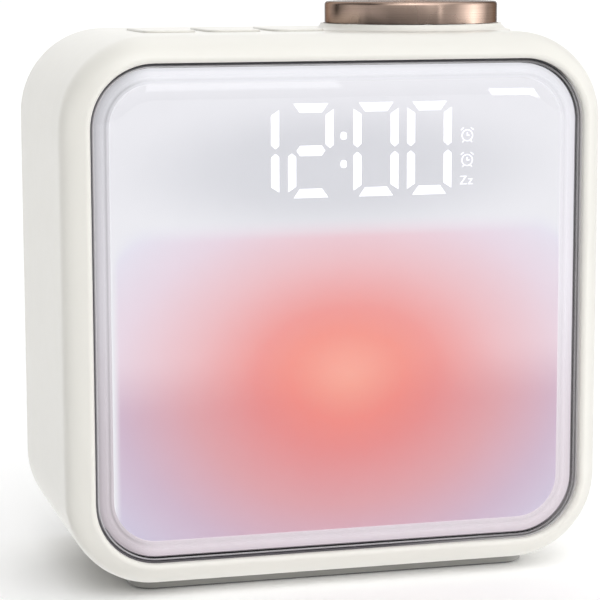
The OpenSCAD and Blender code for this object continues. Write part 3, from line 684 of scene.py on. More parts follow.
@dataclass(frozen=True)
class SunriseGlow(Finish):
    """Milk-white sheet: the sunrise shines through a window in its lower part, the display above it."""

    centre: Pair
    window_half: float
    window_top: float
    window_corner: float
    middle_x: float
    display_middle: Pair
    stretch_up: float = 1.4
    stretch_down: float = 1.235
    span: float = 76.0 * MM
    turn: Pair = (-10.0 * MM, 8.0 * MM)
    edge_soft: float = 1.1 * MM
    top_soft: float = 3.6 * MM
    top_soft_along: Pair = (0.4, 1.0)
    display_half: Pair = (54.0 * MM, 16.5 * MM)
    display_fade: Pair = (0.4, 1.25)
    display_dim: Tone = Tone(214, 215, 218)
    display_bright: Tone = Tone(235, 235, 237)
    above: Fade = Fade(
        core=Tone(250, 166, 145), ember=Tone(244, 142, 125), coral=Tone(240, 146, 138),
        rose=Tone(236, 187, 190), blush=Tone(231, 212, 222), haze=Tone(228, 226, 236),
    )
    below: Fade = Fade(
        core=Tone(246, 158, 135), ember=Tone(238, 127, 114), coral=Tone(230, 129, 124),
        rose=Tone(219, 154, 159), blush=Tone(204, 177, 196), haze=Tone(206, 200, 220),
    )
    drift: Noise = Noise(22.0)
    drift_reach: float = 0.006
    sheet: Colour = (0.06, 0.055, 0.06, 1.0)
    grain: Noise = Noise(400.0)
    roughness: Pair = (0.5, 0.6)

    def lay_out(self, bench: Bench) -> None:
        """Lays out the sunrise, the display's light and the window between them.

        Args:
            bench: Where the nodes are made.
        """
        x, _, z = bench.axes()
        upper, lower = self.display_light(bench, x, z), self.sunrise(bench, x, z)
        bench.set(
            Base_Color=self.sheet,
            Roughness=bench.grade(bench.noise(self.grain), *self.roughness),
            Emission_Color=bench.blend(self.inside_window(bench, x, z), upper, lower),
            Emission_Strength=1.0,
        )

    def sunrise(self, bench: Bench, x: Socket, z: Socket) -> Socket:
        """Lays out the fade from the core, squeezed in height and with tones of its own below the core.

        Args:
            bench: Where the nodes are made.
            x: Place along the panel.
            z: Height.

        Returns:
            The colour's socket.
        """
        aside = bench.math("SUBTRACT", x, self.centre[0])
        rise = bench.math("SUBTRACT", z, self.centre[1])
        over = bench.math("MULTIPLY", bench.math("MAXIMUM", rise, 0.0), self.stretch_up)
        under = bench.math("MULTIPLY", bench.math("MINIMUM", rise, 0.0), self.stretch_down)
        away = bench.length(aside, bench.math("ADD", over, under))
        drift = bench.grade(bench.noise(self.drift), -self.drift_reach, self.drift_reach)
        share = bench.math("ADD", bench.math("DIVIDE", away, self.span), drift)
        above, below = (bench.ramp(share, fade.stops()) for fade in (self.above, self.below))
        return bench.blend(bench.spread(rise, *self.turn, smooth=True), below, above)

    def display_light(self, bench: Bench, x: Socket, z: Socket) -> Socket:
        """Lays out the white light behind the display, dimmer in its middle.

        Args:
            bench: Where the nodes are made.
            x: Place along the panel.
            z: Height.

        Returns:
            The colour's socket.
        """
        sides = [
            bench.math("DIVIDE", bench.math("SUBTRACT", value, middle), half)
            for value, middle, half in zip((x, z), self.display_middle, self.display_half)
        ]
        share = bench.spread(bench.length(*sides), *self.display_fade, smooth=True)
        return bench.blend(share, self.display_dim.linear(), self.display_bright.linear())

    def inside_window(self, bench: Bench, x: Socket, z: Socket) -> Socket:
        """Marks the sunrise's window, with rounded upper corners and an edge that is softest at the top.

        Args:
            bench: Where the nodes are made.
            x: Place along the panel.
            z: Height.

        Returns:
            The socket, 1 inside and 0 outside.
        """
        side = bench.math("ABSOLUTE", bench.math("SUBTRACT", x, self.middle_x))
        straight = self.window_half - self.window_corner
        over_side = bench.math("MAXIMUM", bench.math("SUBTRACT", side, straight), 0.0)
        over_top = bench.math("MAXIMUM", bench.math("SUBTRACT", z, self.window_top - self.window_corner), 0.0)
        up_share = bench.math("DIVIDE", over_top, self.window_corner)
        soft = bench.spread(up_share, *self.top_soft_along, self.edge_soft, self.top_soft)
        low, high = (bench.math(kind, self.window_corner, soft) for kind in ("SUBTRACT", "ADD"))
        return bench.spread(bench.length(over_side, over_top), low, high, 1.0, 0.0, smooth=True)


@dataclass(frozen=True)
class LitWhite(Finish):
    """White light through a thin window, dimmer to the right of a place along x."""

    tone: Tone
    strength: float
    dim_strength: float
    dim_from: float
    shade: float = 0.95
    patches: Noise = Noise(90.0)
    window: Colour = (0.7, 0.7, 0.72, 1.0)
    grain: Noise = Noise(500.0)
    roughness: Pair = (0.4, 0.5)

    def lay_out(self, bench: Bench) -> None:
        """Lays out the light and its two strengths.

        Args:
            bench: Where the nodes are made.
        """
        x, _, _ = bench.axes()
        patches = bench.noise(self.patches)
        fall = (self.dim_from, self.dim_from + MM, self.strength, self.dim_strength)
        bench.set(
            Base_Color=self.window,
            Roughness=bench.grade(bench.noise(self.grain), *self.roughness),
            Emission_Color=bench.blend(patches, self.tone.linear(self.shade), self.tone.linear()),
            Emission_Strength=bench.spread(x, *fall),
        )


@dataclass(frozen=True)
class BoardFilm(Finish):
    """Solder mask over a woven laminate, with paler tracks."""

    tone: Tone
    track: Tone
    weave: Noise = Noise(1400.0)
    weave_stretch: Point = (1.0, 1.0, 0.2)
    weave_depth: float = 0.01 * MM
    track_cells: float = 260.0
    track_edge: Pair = (0.02, 0.06)
    roughness: Pair = (0.3, 0.45)

    def lay_out(self, bench: Bench) -> None:
        """Lays out the weave and the tracks.

        Args:
            bench: Where the nodes are made.
        """
        weave = bench.noise(self.weave, bench.stretched(self.weave_stretch))
        tracks = bench.spread(bench.cells(self.track_cells), *self.track_edge, 1.0, 0.0)
        bench.set(
            Base_Color=bench.blend(tracks, self.tone.linear(), self.track.linear()),
            Roughness=bench.grade(weave, *self.roughness),
        )
        bench.bumps(weave, self.weave_depth)


@dataclass(frozen=True)
class AcousticCloth(Finish):
    """Thin woven cloth behind the grille."""

    tone: Tone
    thread: float = 0.4 * MM
    thread_light: Pair = (2.2, 0.004)
    thread_depth: float = 0.05 * MM
    roughness: float = 0.9
    nap: float = 0.2

    def lay_out(self, bench: Bench) -> None:
        """Lays out the warp and the weft.

        Args:
            bench: Where the nodes are made.
        """
        x, _, z = bench.axes()
        turns = math.tau / self.thread
        warp, weft = (bench.math("SINE", bench.math("MULTIPLY", value, turns)) for value in (x, z))
        weave = bench.math("MULTIPLY_ADD", bench.math("MULTIPLY", warp, weft), 0.5, 0.5)
        bench.set(
            Base_Color=bench.blend(weave, self.tone.linear(), self.tone.linear(*self.thread_light)),
            Roughness=self.roughness,
            Sheen_Weight=self.nap,
        )
        bench.bumps(weave, self.thread_depth)


BAND_PLACES = (0.0, 0.11, 0.4, 0.68, 0.82, 0.91)


@dataclass(frozen=True)
class BandShade:
    """Greys of painted light and shade across the rim band, from its outer edge over a low crest and a groove
    to its inside.
    """

    edge: float
    bend: float
    slope: float
    crest: float
    groove: float
    inside: float

    def stops(self) -> List[Tuple[float, Colour]]:
        """Places the greys.

        Returns:
            Share of the way in and colour of each grey.
        """
        greys = (self.edge, self.bend, self.slope, self.crest, self.groove, self.inside)
        return [(place, Tone(grey, grey, grey).linear()) for place, grey in zip(BAND_PLACES, greys)]


@dataclass(frozen=True)
class RimPaintedLight(Finish):
    """Painted light on the white band beside the panel, which glows though it is no lamp: painted shade
    darkens it towards its outside and on its left, and a painted tint colours it by height.
    """

    case: Case
    across: Pair = (7.4 * MM, 11.9 * MM)
    # shaded holds the painted shade of the left side and lit the painted light elsewhere; their crest and
    # groove greys paint the ribs' light and shade.
    shaded: BandShade = BandShade(edge=150, bend=179, slope=206, crest=218, groove=186, inside=219)
    lit: BandShade = BandShade(edge=206, bend=230, slope=241, crest=242, groove=232, inside=238)
    lit_along: Pair = (-58.0 * MM, -48.0 * MM)
    painted_tint_between: Pair = (10.0 * MM, 130.0 * MM)
    painted_light_tints: Tuple[Tuple[float, Tone], ...] = (
        (0.0, Tone(236, 224, 229)), (0.28, Tone(241, 231, 236)), (0.55, Tone(253, 248, 253)),
        (1.0, Tone(249, 249, 252)),
    )
    # The band itself is near black, so that only its painted light shows.
    band: Colour = (0.06, 0.06, 0.06, 1.0)
    grain: Noise = Noise(300.0)
    roughness: Pair = (0.4, 0.5)

    def lay_out(self, bench: Bench) -> None:
        """Lays out the painted light and shade across the band and its painted tint by height.

        Args:
            bench: Where the nodes are made.
        """
        x, _, z = bench.axes()
        share = bench.spread(bench.inset(self.case), *self.across)
        greys = [bench.ramp(share, shade.stops()) for shade in (self.shaded, self.lit)]
        grey = bench.blend(bench.spread(x, *self.lit_along, smooth=True), *greys)
        height = bench.spread(z, *self.painted_tint_between)
        tint = bench.ramp(height, [(place, tone.linear()) for place, tone in self.painted_light_tints])
        light = bench.tree.nodes.new("ShaderNodeVectorMath")
        light.operation = "MULTIPLY"
        bench.link(grey, light.inputs[0])
        bench.link(tint, light.inputs[1])
        bench.set(
            Base_Color=self.band,
            Roughness=bench.grade(bench.noise(self.grain), *self.roughness),
            Emission_Color=light.outputs[0],
            Emission_Strength=1.0,
        )


class FinishBook:
    """Every finish of the clock, by the model's material slots."""

    def __init__(self, case: Case, knob_axis: Pair, glow: SunriseGlow) -> None:
        """Collects the finishes.

        Args:
            case: The housing's sizes.
            knob_axis: Where the knob's axis stands, in x and y.
            glow: The light panel's finish.
        """
        # Slot, tone, roughness, strength of the clouds and, where it is another, the grain's scale.
        plastics = (
            ("shell_white", Tone(236, 234, 227), 0.34, 0.012),
            ("button_white", Tone(238, 236, 229), 0.36, 0.012, 3200.0),
            # The foot's grey is partly its own colour and partly painted shade, made darker for the shade
            # under the housing's overhang.
            ("foot_grey", Tone(164, 163, 159), 0.45, 0.03, 1800.0),
            ("tray_white", Tone(240, 239, 241), 0.3, 0.01),
            ("lamp_yellow", Tone(240, 210, 120), 0.3, 0.05),
            ("chip_black", Tone(42, 42, 44), 0.5, 0.1),
            ("capacitor_blue", Tone(52, 74, 120), 0.35, 0.08),
            ("speaker_steel", Tone(46, 46, 48), 0.4, 0.1),
            ("magnet_dark", Tone(66, 66, 68), 0.55, 0.15),
            ("holder_black", Tone(44, 44, 46), 0.45, 0.08),
            ("rotor_white", Tone(226, 225, 218), 0.4, 0.03),
            ("hub_plastic", Tone(52, 52, 54), 0.5, 0.08),
            ("plunger_black", Tone(40, 40, 42), 0.45, 0.08),
            ("lead_white", Tone(226, 225, 220), 0.4, 0.04),
            ("lead_red", Tone(176, 42, 34), 0.4, 0.06),
        )
        others = (
            TurnedMetal("knob_metal", Tone(200, 175, 160), knob_axis),
            ClearPlastic("lens_clear", Tone(252, 252, 255), case),
            LitWhite(
                "segment_white", Tone(255, 255, 255), strength=1.0, dim_strength=0.86, dim_from=31.0 * MM
            ),
            SoftRubber("gasket_black", Tone(34, 33, 36)),
            # The lip's dark tone is painted shade at its top and its pale tone is painted light on its right.
            LipRubber(
                "gasket_pale", dark=Tone(60, 58, 62), middle=Tone(92, 89, 94), pale=Tone(190, 188, 189)
            ),
            SoftRubber("pad_rubber", Tone(120, 120, 118)),
            BoardFilm("board_green", Tone(22, 84, 52), Tone(52, 120, 78)),
            BoardFilm("board_white", Tone(226, 226, 220), Tone(206, 206, 198)),
            AcousticCloth("cone_paper", Tone(54, 52, 52), 0.7 * MM),
            PlainMetal("cell_steel", Tone(206, 206, 204), 0.22),
            PlainMetal("inlet_steel", Tone(204, 204, 208), 0.25),
            PlainMetal("brass", Tone(206, 172, 98), 0.25),
        )
        self.by_slot: Dict[str, Finish] = {row[0]: MouldedPlastic(*row) for row in plastics}
        self.by_slot.update({finish.name: finish for finish in others})
        self.by_slot["screw_steel"] = PlainMetal("zinc_steel", Tone(196, 196, 198), 0.32)
        self.by_slot["diffuser_white"] = glow
        self.cloth = AcousticCloth("grille_cloth", Tone(30, 30, 31))
        # The rim band's finish is painted light and shade.
        self.rim = RimPaintedLight("rim_light", case)

    def dress_nodes(self, frame: Dict[str, Any]) -> None:
        """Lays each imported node's finish on it.
        """
        slots = {row["node"]: row["material_slot"] for row in frame["record"]["subparts"]}
        for name, node in sorted(frame["nodes"].items()):
            self.by_slot[slots[name]].dress(node)
            LOG.info("dressed %s as %s", name, slots[name])


# ---------------------------------------------------------------- pieces

# How close a vertex lies to a curve or a plane that it is on, and vertices to one another to be merged.
ON_CURVE = 0.02 * MM
ON_PLANE = 0.001 * MM
MERGED = 0.01 * MM


class Shape:
    """A mesh being made with bmesh operators, then handed over as a piece."""

    def __init__(self, name: str) -> None:
        """Starts an empty mesh.

        Args:
            name: The piece's name.
        """
        self.name = name
        self.bm = bmesh.new()

    def chain(self, points: Iterable[Point], closed: bool = False) -> Edges:
        """Lays a few vertices joined in a row.

        Args:
            points: The vertices' places.
            closed: Whether the last joins the first.

        Returns:
            The edges.
        """
        row = [self.bm.verts.new(p) for p in points]
        pairs = list(zip(row, row[1:])) + ([(row[-1], row[0])] if closed else [])
        return [self.bm.edges.new(pair) for pair in pairs]

    def turn(
        self, edges: Edges, centre: Point, axis: Point, angle: float, steps: int, whole: bool = False
    ) -> Edges:
        """Spins edges into a turned surface.

        Args:
            edges: The section.
            centre: A point on the axis.
            axis: The axis' direction.
            angle: How far it turns.
            steps: Number of steps.
            whole: Whether it closes on itself.

        Returns:
            The edges at the far end.
        """
        verts = list({v for e in edges for v in e.verts})
        result = bmesh.ops.spin(
            self.bm, geom=verts + list(edges), cent=centre, axis=axis, dvec=(0, 0, 0),
            angle=angle, steps=steps, use_merge=whole, use_duplicate=False,
        )
        return [g for g in result["geom_last"] if isinstance(g, bmesh.types.BMEdge)]

    def pull(self, edges: Edges, by: Point) -> Edges:
        """Extrudes edges in a straight line.

        Args:
            edges: The section.
            by: How far, and which way.

        Returns:
            The edges at the far end.
        """
        result = bmesh.ops.extrude_edge_only(self.bm, edges=list(edges))
        moved = {g for g in result["geom"] if isinstance(g, bmesh.types.BMVert)}
        bmesh.ops.translate(self.bm, verts=list(moved), vec=by)
        own_edges = [g for g in result["geom"] if isinstance(g, bmesh.types.BMEdge)]
        return [e for e in own_edges if all(v in moved for v in e.verts)]

    def join(self) -> None:
        """Merges vertices that lie together."""
        bmesh.ops.remove_doubles(self.bm, verts=self.bm.verts[:], dist=MERGED)

    def outwards(self) -> None:
        """Points every face outwards."""
        bmesh.ops.recalc_face_normals(self.bm, faces=self.bm.faces[:])

    def round_edges(self, edges: Iterable[bmesh.types.BMEdge], radius: float, segments: int) -> None:
        """Rounds edges.

        Args:
            edges: The edges.
            radius: The rounding's radius.
            segments: Faces across the rounding.
        """
        bmesh.ops.bevel(
            self.bm, geom=list(edges), offset=radius, offset_type="OFFSET", affect="EDGES",
            segments=segments, profile=0.5, material=-1, clamp_overlap=True,
        )

    def box(self, low: Point, high: Point) -> List[bmesh.types.BMVert]:
        """Adds a box between two corners.

        Args:
            low: The corner with the lowest x, y and z.
            high: The corner across from it.

        Returns:
            The box's vertices.
        """
        size = Vector(high) - Vector(low)
        middle = (Vector(high) + Vector(low)) / 2
        matrix = Matrix.Translation(middle) @ Matrix.Diagonal((size.x, size.y, size.z, 1.0))
        return bmesh.ops.create_cube(self.bm, size=1.0, matrix=matrix)["verts"]

    def disc(self, radius: float, thick: float, segments: int, matrix: Matrix) -> None:
        """Adds a round disc or pin.

        Args:
            radius: Its radius.
            thick: Its length along the axis.
            segments: Faces round it.
            matrix: Where its middle and axis go.
        """
        bmesh.ops.create_cone(
            self.bm, cap_ends=True, segments=segments, radius1=radius, radius2=radius, depth=thick,
            matrix=matrix,
        )

    def finish(self, body: Body, slot: str, finish: Finish, smooth_angle: float) -> bpy.types.Object:
        """Turns the mesh into a piece of the clock.

        Args:
            body: The rigid body it rides on.
            slot: The record's material slot; not used.
            finish: What it is dressed in.
            smooth_angle: Edges sharper than this, in degrees, stay crisp.

        Returns:
            The new object.
        """
        for face in self.bm.faces:
            face.smooth = True
        limit = math.radians(smooth_angle)
        for edge in self.bm.edges:
            edge.smooth = len(edge.link_faces) == 2 and edge.calc_face_angle(0.0) < limit
        mesh = bpy.data.meshes.new(self.name)
        self.bm.to_mesh(mesh)
        self.bm.free()
        piece = bpy.data.objects.new(self.name, mesh)
        bpy.context.scene.collection.objects.link(piece)
        finish.dress(piece)
        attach(piece, body.value)
        LOG.info("built %s with %d faces on %s", self.name, len(mesh.polygons), body.value)
        return piece


@dataclass
class OutlineSweep:
    """Carries a section round the housing's rounded outline."""

    case: Case
    corner_steps: int = 20

    def halves(self) -> Pair:
        """Returns half the straight stretch along x and along z."""
        return (self.case.width / 2 - self.case.corner, self.case.height / 2 - self.case.corner)

    def run(self, shape: Shape, section: Sequence[Pair], closed: bool = False) -> None:
        """Sweeps the section.

        Args:
            shape: The mesh it is made in.
            section: Pairs of inset from the outline and depth behind the front crest.
            closed: Whether the section is a loop.
        """
        case = self.case
        across, up = self.halves()
        start = [(case.width / 2 - inset, case.front + behind, case.middle - up) for inset, behind in section]
        edges = shape.chain(start, closed)
        corners = [(across, up), (-across, up), (-across, -up), (across, -up)]
        pulls = [(0, 0, 2 * up), (-2 * across, 0, 0), (0, 0, -2 * up), (2 * across, 0, 0)]
        for (x, z), by in zip(corners, pulls):
            edges = shape.pull(edges, by)
            edges = shape.turn(edges, (x, 0, case.middle + z), (0, -1, 0), math.pi / 2, self.corner_steps)
        shape.join()

    def ring(self, shape: Shape, inset: float, behind: float) -> Edges:
        """Finds the edges that run round the outline at an inset and depth.

        Args:
            shape: The mesh.
            inset: Inset from the outline.
            behind: Depth behind the front crest.

        Returns:
            The edges.
        """
        case = self.case
        across, up = self.halves()

        def on_ring(v: bmesh.types.BMVert) -> bool:
            """Tells whether a vertex lies on the ring.

            Args:
                v: The vertex.

            Returns:
                True where it does.
            """
            x = max(abs(v.co.x) - across, 0.0)
            z = max(abs(v.co.z - case.middle) - up, 0.0)
            at_depth = abs(v.co.y - case.front - behind) < MERGED
            return at_depth and abs(math.hypot(x, z) - (case.corner - inset)) < ON_CURVE

        return [e for e in shape.bm.edges if all(on_ring(v) for v in e.verts)]


@dataclass
class Lens:
    """The clear pillow-shaped cover over the light panel."""

    case: Case
    inset: float = 7.08 * MM
    face: float = 1.0 * MM
    wall: float = 2.2 * MM
    side_wall: float = 1.1 * MM
    flange_inset: float = 3.0 * MM
    flange_front: float = 10.2 * MM
    flange_back: float = 12.0 * MM
    crown_drop: float = 1.5 * MM
    inner_drop: float = 1.35 * MM
    crown_width: float = 10.0 * MM
    crown_power: float = 2.3
    crown_points: int = 18
    edge: float = 0.8 * MM
    edge_segments: int = 5
    smooth_angle: float = 35.0

    def crown(self, inset: float, face: float, width: float, drop: float) -> List[Pair]:
        """Works out the pillow's slope between its edge and its flat face.

        Args:
            inset: Inset of the edge.
            face: Depth of the face.
            width: How far the slope reaches in from the edge.
            drop: How far the edge lies behind the face.

        Returns:
            Pairs of inset and depth, from the edge to the face.
        """
        shares = [i / self.crown_points for i in range(self.crown_points + 1)]
        return [(inset + width * u, face + drop * (1.0 - u) ** self.crown_power) for u in shares]

    def inner(self, gap: float = 0.0) -> List[Pair]:
        """Works out the slope of the inside.

        Args:
            gap: How far behind the inside the slope lies.

        Returns:
            Pairs of inset and depth, from the edge to the face.
        """
        side = self.inset + self.side_wall + gap
        face = self.face + self.wall + gap
        return self.crown(side, face, self.inset + self.crown_width - side, self.inner_drop)

    def build(self, book: FinishBook) -> bpy.types.Object:
        """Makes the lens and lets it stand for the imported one.

        Args:
            book: The finishes.

        Returns:
            The lens.
        """
        shape = Shape("clear_lens")
        sweep = OutlineSweep(self.case)
        outside = [(self.flange_inset, self.flange_front), (self.inset, self.flange_front)]
        outside += self.crown(self.inset, self.face, self.crown_width, self.crown_drop)
        sweep.run(shape, outside)
        inside = [(self.flange_inset, self.flange_front), (self.flange_inset, self.flange_back)]
        inside += [(self.inset + self.side_wall, self.flange_back)] + self.inner()
        sweep.run(shape, inside)
        shape.join()
        rims = [e for e in shape.bm.edges if len(e.link_faces) == 1]
        bmesh.ops.holes_fill(shape.bm, edges=rims, sides=0)
        shape.outwards()
        rim = sweep.ring(shape, self.inset, self.face + self.crown_drop)
        shape.round_edges(rim, self.edge, self.edge_segments)
        lens = shape.finish(Body.HOUSING, "lens_clear", book.by_slot["lens_clear"], self.smooth_angle)
        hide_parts("lens_cover")
        return lens


@dataclass
class RimBand:
    """The pale ribbed band behind the lens's rim, beside the light panel."""

    case: Case
    lens: Lens
    panel_inset: float = 11.9 * MM
    panel_back: float = 6.0 * MM
    tray_inset: float = 11.1 * MM
    back: float = 11.6 * MM
    gap: float = 0.15 * MM
    rib: float = 0.35 * MM
    rib_places: Pair = (10.2 * MM, 11.0 * MM)
    smooth_angle: float = 25.0

    def build(self, book: FinishBook) -> bpy.types.Object:
        """Makes the band.

        Args:
            book: The finishes.

        Returns:
            The band.
        """
        shape = Shape("rim_band")
        slope = [(inset, depth) for inset, depth in self.lens.inner(self.gap) if inset < self.panel_inset]
        front = [(inset, depth + self.step(inset)) for inset, depth in slope]
        last = (self.panel_inset, front[-1][1])
        section = [(front[0][0], self.back)] + front + [last, (self.panel_inset, self.panel_back)]
        section += [(self.tray_inset, self.panel_back), (self.tray_inset, self.back)]
        OutlineSweep(self.case).run(shape, section, closed=True)
        shape.outwards()
        # The band wears the rim's painted light and shade.
        return shape.finish(Body.HOUSING, "gasket_pale", book.rim, self.smooth_angle)

    def step(self, inset: float) -> float:
        """Returns how far the band is set back by its ribs at an inset."""
        return self.rib * sum(1 for place in self.rib_places if inset > place)


@dataclass
class Knob:
    """The bronze knob's turned cap."""

    case: Case
    axis: Pair = (30.1 * MM, 2.5 * MM)
    radius: float = 23.35 * MM
    top: float = 7.4 * MM
    bottom: float = 1.7 * MM
    wall: float = 1.2 * MM
    edge: float = 0.8 * MM
    edge_segments: int = 5
    lower_edge: float = 0.2 * MM
    lower_segments: int = 2
    steps: int = 160
    smooth_angle: float = 30.0

    def build(self, book: FinishBook) -> bpy.types.Object:
        """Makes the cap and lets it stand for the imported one.

        Args:
            book: The finishes.

        Returns:
            The cap.
        """
        shape = Shape("knob_cap")
        x, y = self.axis
        high, low = self.case.top + self.top, self.case.top + self.bottom
        hollow, ceiling = self.radius - self.wall, high - self.wall
        section = [
            (0.0, high), (self.radius, high), (self.radius, low),
            (hollow, low), (hollow, ceiling), (0.0, ceiling),
        ]
        edges = shape.chain([(x + r, y, z) for r, z in section])
        shape.turn(edges, (x, y, 0), (0, 0, 1), math.tau, self.steps, whole=True)
        shape.join()
        shape.outwards()
        shape.round_edges(self.ring(shape, self.radius, high), self.edge, self.edge_segments)
        for radius in (self.radius, hollow):
            shape.round_edges(self.ring(shape, radius, low), self.lower_edge, self.lower_segments)
        cap = shape.finish(Body.KNOB, "knob_metal", book.by_slot["knob_metal"], self.smooth_angle)
        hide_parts("knob_shell")
        return cap

    def ring(self, shape: Shape, radius: float, height: float) -> Edges:
        """Finds the ring of edges at a radius and height.

        Args:
            shape: The mesh.
            radius: Distance from the knob's axis.
            height: Height above the ground.

        Returns:
            The edges.
        """
        x, y = self.axis

        def on_ring(v: bmesh.types.BMVert) -> bool:
            """Tells whether a vertex lies on the ring.

            Args:
                v: The vertex.

            Returns:
                True where it does.
            """
            at_height = abs(v.co.z - height) < ON_PLANE
            return at_height and abs(math.hypot(v.co.x - x, v.co.y - y) - radius) < ON_CURVE

        return [e for e in shape.bm.edges if all(on_ring(v) for v in e.verts)]


@dataclass
class Buttons:
    """The three soft-edged push buttons."""

    case: Case
    row_x: float = -21.8 * MM
    pitch: float = 17.4 * MM
    depth_place: float = 2.5 * MM
    width: float = 14.0 * MM
    depth: float = 28.0 * MM
    corner: float = 4.0 * MM
    corner_segments: int = 10
    rise: float = 0.6 * MM
    flange: float = 1.25 * MM
    flange_low: float = -3.9 * MM
    flange_thick: float = 1.2 * MM
    flange_edge: float = 0.15 * MM
    edge: float = 0.35 * MM
    edge_segments: int = 4
    stem_radius: float = 1.75 * MM
    stem_length: float = 0.6 * MM
    stem_below: float = 0.1 * MM
    stem_segments: int = 32
    smooth_angle: float = 30.0
    facing_up: float = 0.9

    def build(self, book: FinishBook) -> List[bpy.types.Object]:
        """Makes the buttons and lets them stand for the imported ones.

        Args:
            book: The finishes.

        Returns:
            The buttons, from left to right.
        """
        made = []
        for step, body in enumerate((Body.BUTTON_LEFT, Body.BUTTON_MIDDLE, Body.BUTTON_RIGHT), -1):
            x = self.row_x + step * self.pitch
            shape = Shape(body.value + "_cap")
            self.prism(shape, x, 0.0, self.rise, self.edge)
            self.prism(shape, x, self.flange, self.flange_low + self.flange_thick, self.flange_edge)
            stem_height = self.case.top + self.flange_low - self.stem_below
            stem = Matrix.Translation((x, self.depth_place, stem_height))
            shape.disc(self.stem_radius, self.stem_length, self.stem_segments, stem)
            piece = shape.finish(body, "button_white", book.by_slot["button_white"], self.smooth_angle)
            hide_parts(body.value)
            made.append(piece)
        return made

    def prism(self, shape: Shape, x: float, grow: float, high: float, edge: float) -> None:
        """Adds an upright rounded block that starts at the flange's underside.

        Args:
            shape: The mesh it is made in.
            x: Its middle.
            grow: How far it stands out beyond the button.
            high: Its upper end, from the housing's top.
            edge: Radius of the upper edge.
        """
        half_w, half_d = self.width / 2 + grow, self.depth / 2 + grow
        base = self.case.top
        verts = shape.box(
            (x - half_w, self.depth_place - half_d, base + self.flange_low),
            (x + half_w, self.depth_place + half_d, base + high),
        )
        edges = {e for v in verts for e in v.link_edges}
        upright = [e for e in edges if abs(e.verts[0].co.z - e.verts[1].co.z) > ON_PLANE]
        faces_before = set(shape.bm.faces) - {f for v in verts for f in v.link_faces}
        shape.round_edges(upright, self.corner + grow, self.corner_segments)
        own = [f for f in shape.bm.faces if f not in faces_before]
        rim = {e for f in own if f.normal.z > self.facing_up for e in f.edges}
        shape.round_edges(rim, edge, self.edge_segments)


@dataclass
class Speaker:
    """The cloth that closes the grille from inside."""

    case: Case
    place: Pair = (-28.0 * MM, 12.0 * MM)
    radius: float = 20.6 * MM
    behind: float = 72.1 * MM
    thick: float = 0.2 * MM
    segments: int = 64
    smooth_angle: float = 40.0

    def build(self, book: FinishBook) -> bpy.types.Object:
        """Makes the cloth disc.

        Args:
            book: The finishes.

        Returns:
            The cloth.
        """
        shape = Shape("grille_cloth")
        x, rise = self.place
        middle = Matrix.Translation((x, self.case.front + self.behind, self.case.middle + rise))
        facing_back = Matrix.Rotation(math.pi / 2, 4, "X")
        shape.disc(self.radius, self.thick, self.segments, middle @ facing_back)
        return shape.finish(Body.HOUSING, "gasket_black", book.cloth, self.smooth_angle)


# ---------------------------------------------------------------- studio


@dataclass(frozen=True)
class Softbox:
    """One soft rectangular lamp."""

    name: str
    place: Point
    aim: Point
    size: Pair
    power: float

    def light(self) -> bpy.types.Object:
        """Hangs the lamp.

        Returns:
            The lamp.
        """
        data = bpy.data.lights.new(self.name, "AREA")
        data.shape = "RECTANGLE"
        data.size, data.size_y = self.size
        data.energy = self.power
        lamp = bpy.data.objects.new(self.name, data)
        bpy.context.scene.collection.objects.link(lamp)
        lamp.location = self.place
        away = Vector(self.aim) - Vector(self.place)
        lamp.rotation_mode = "QUATERNION"
        lamp.rotation_quaternion = away.to_track_quat("-Z", "Y")
        return lamp


@dataclass(frozen=True)
class Wall:
    """A stretch of the tent with one brightness, between two bearings.

    Bearings are in degrees from the front: 90 is the right, -90 the left and 180 the back.
    """

    start: float
    end: float
    brightness: float


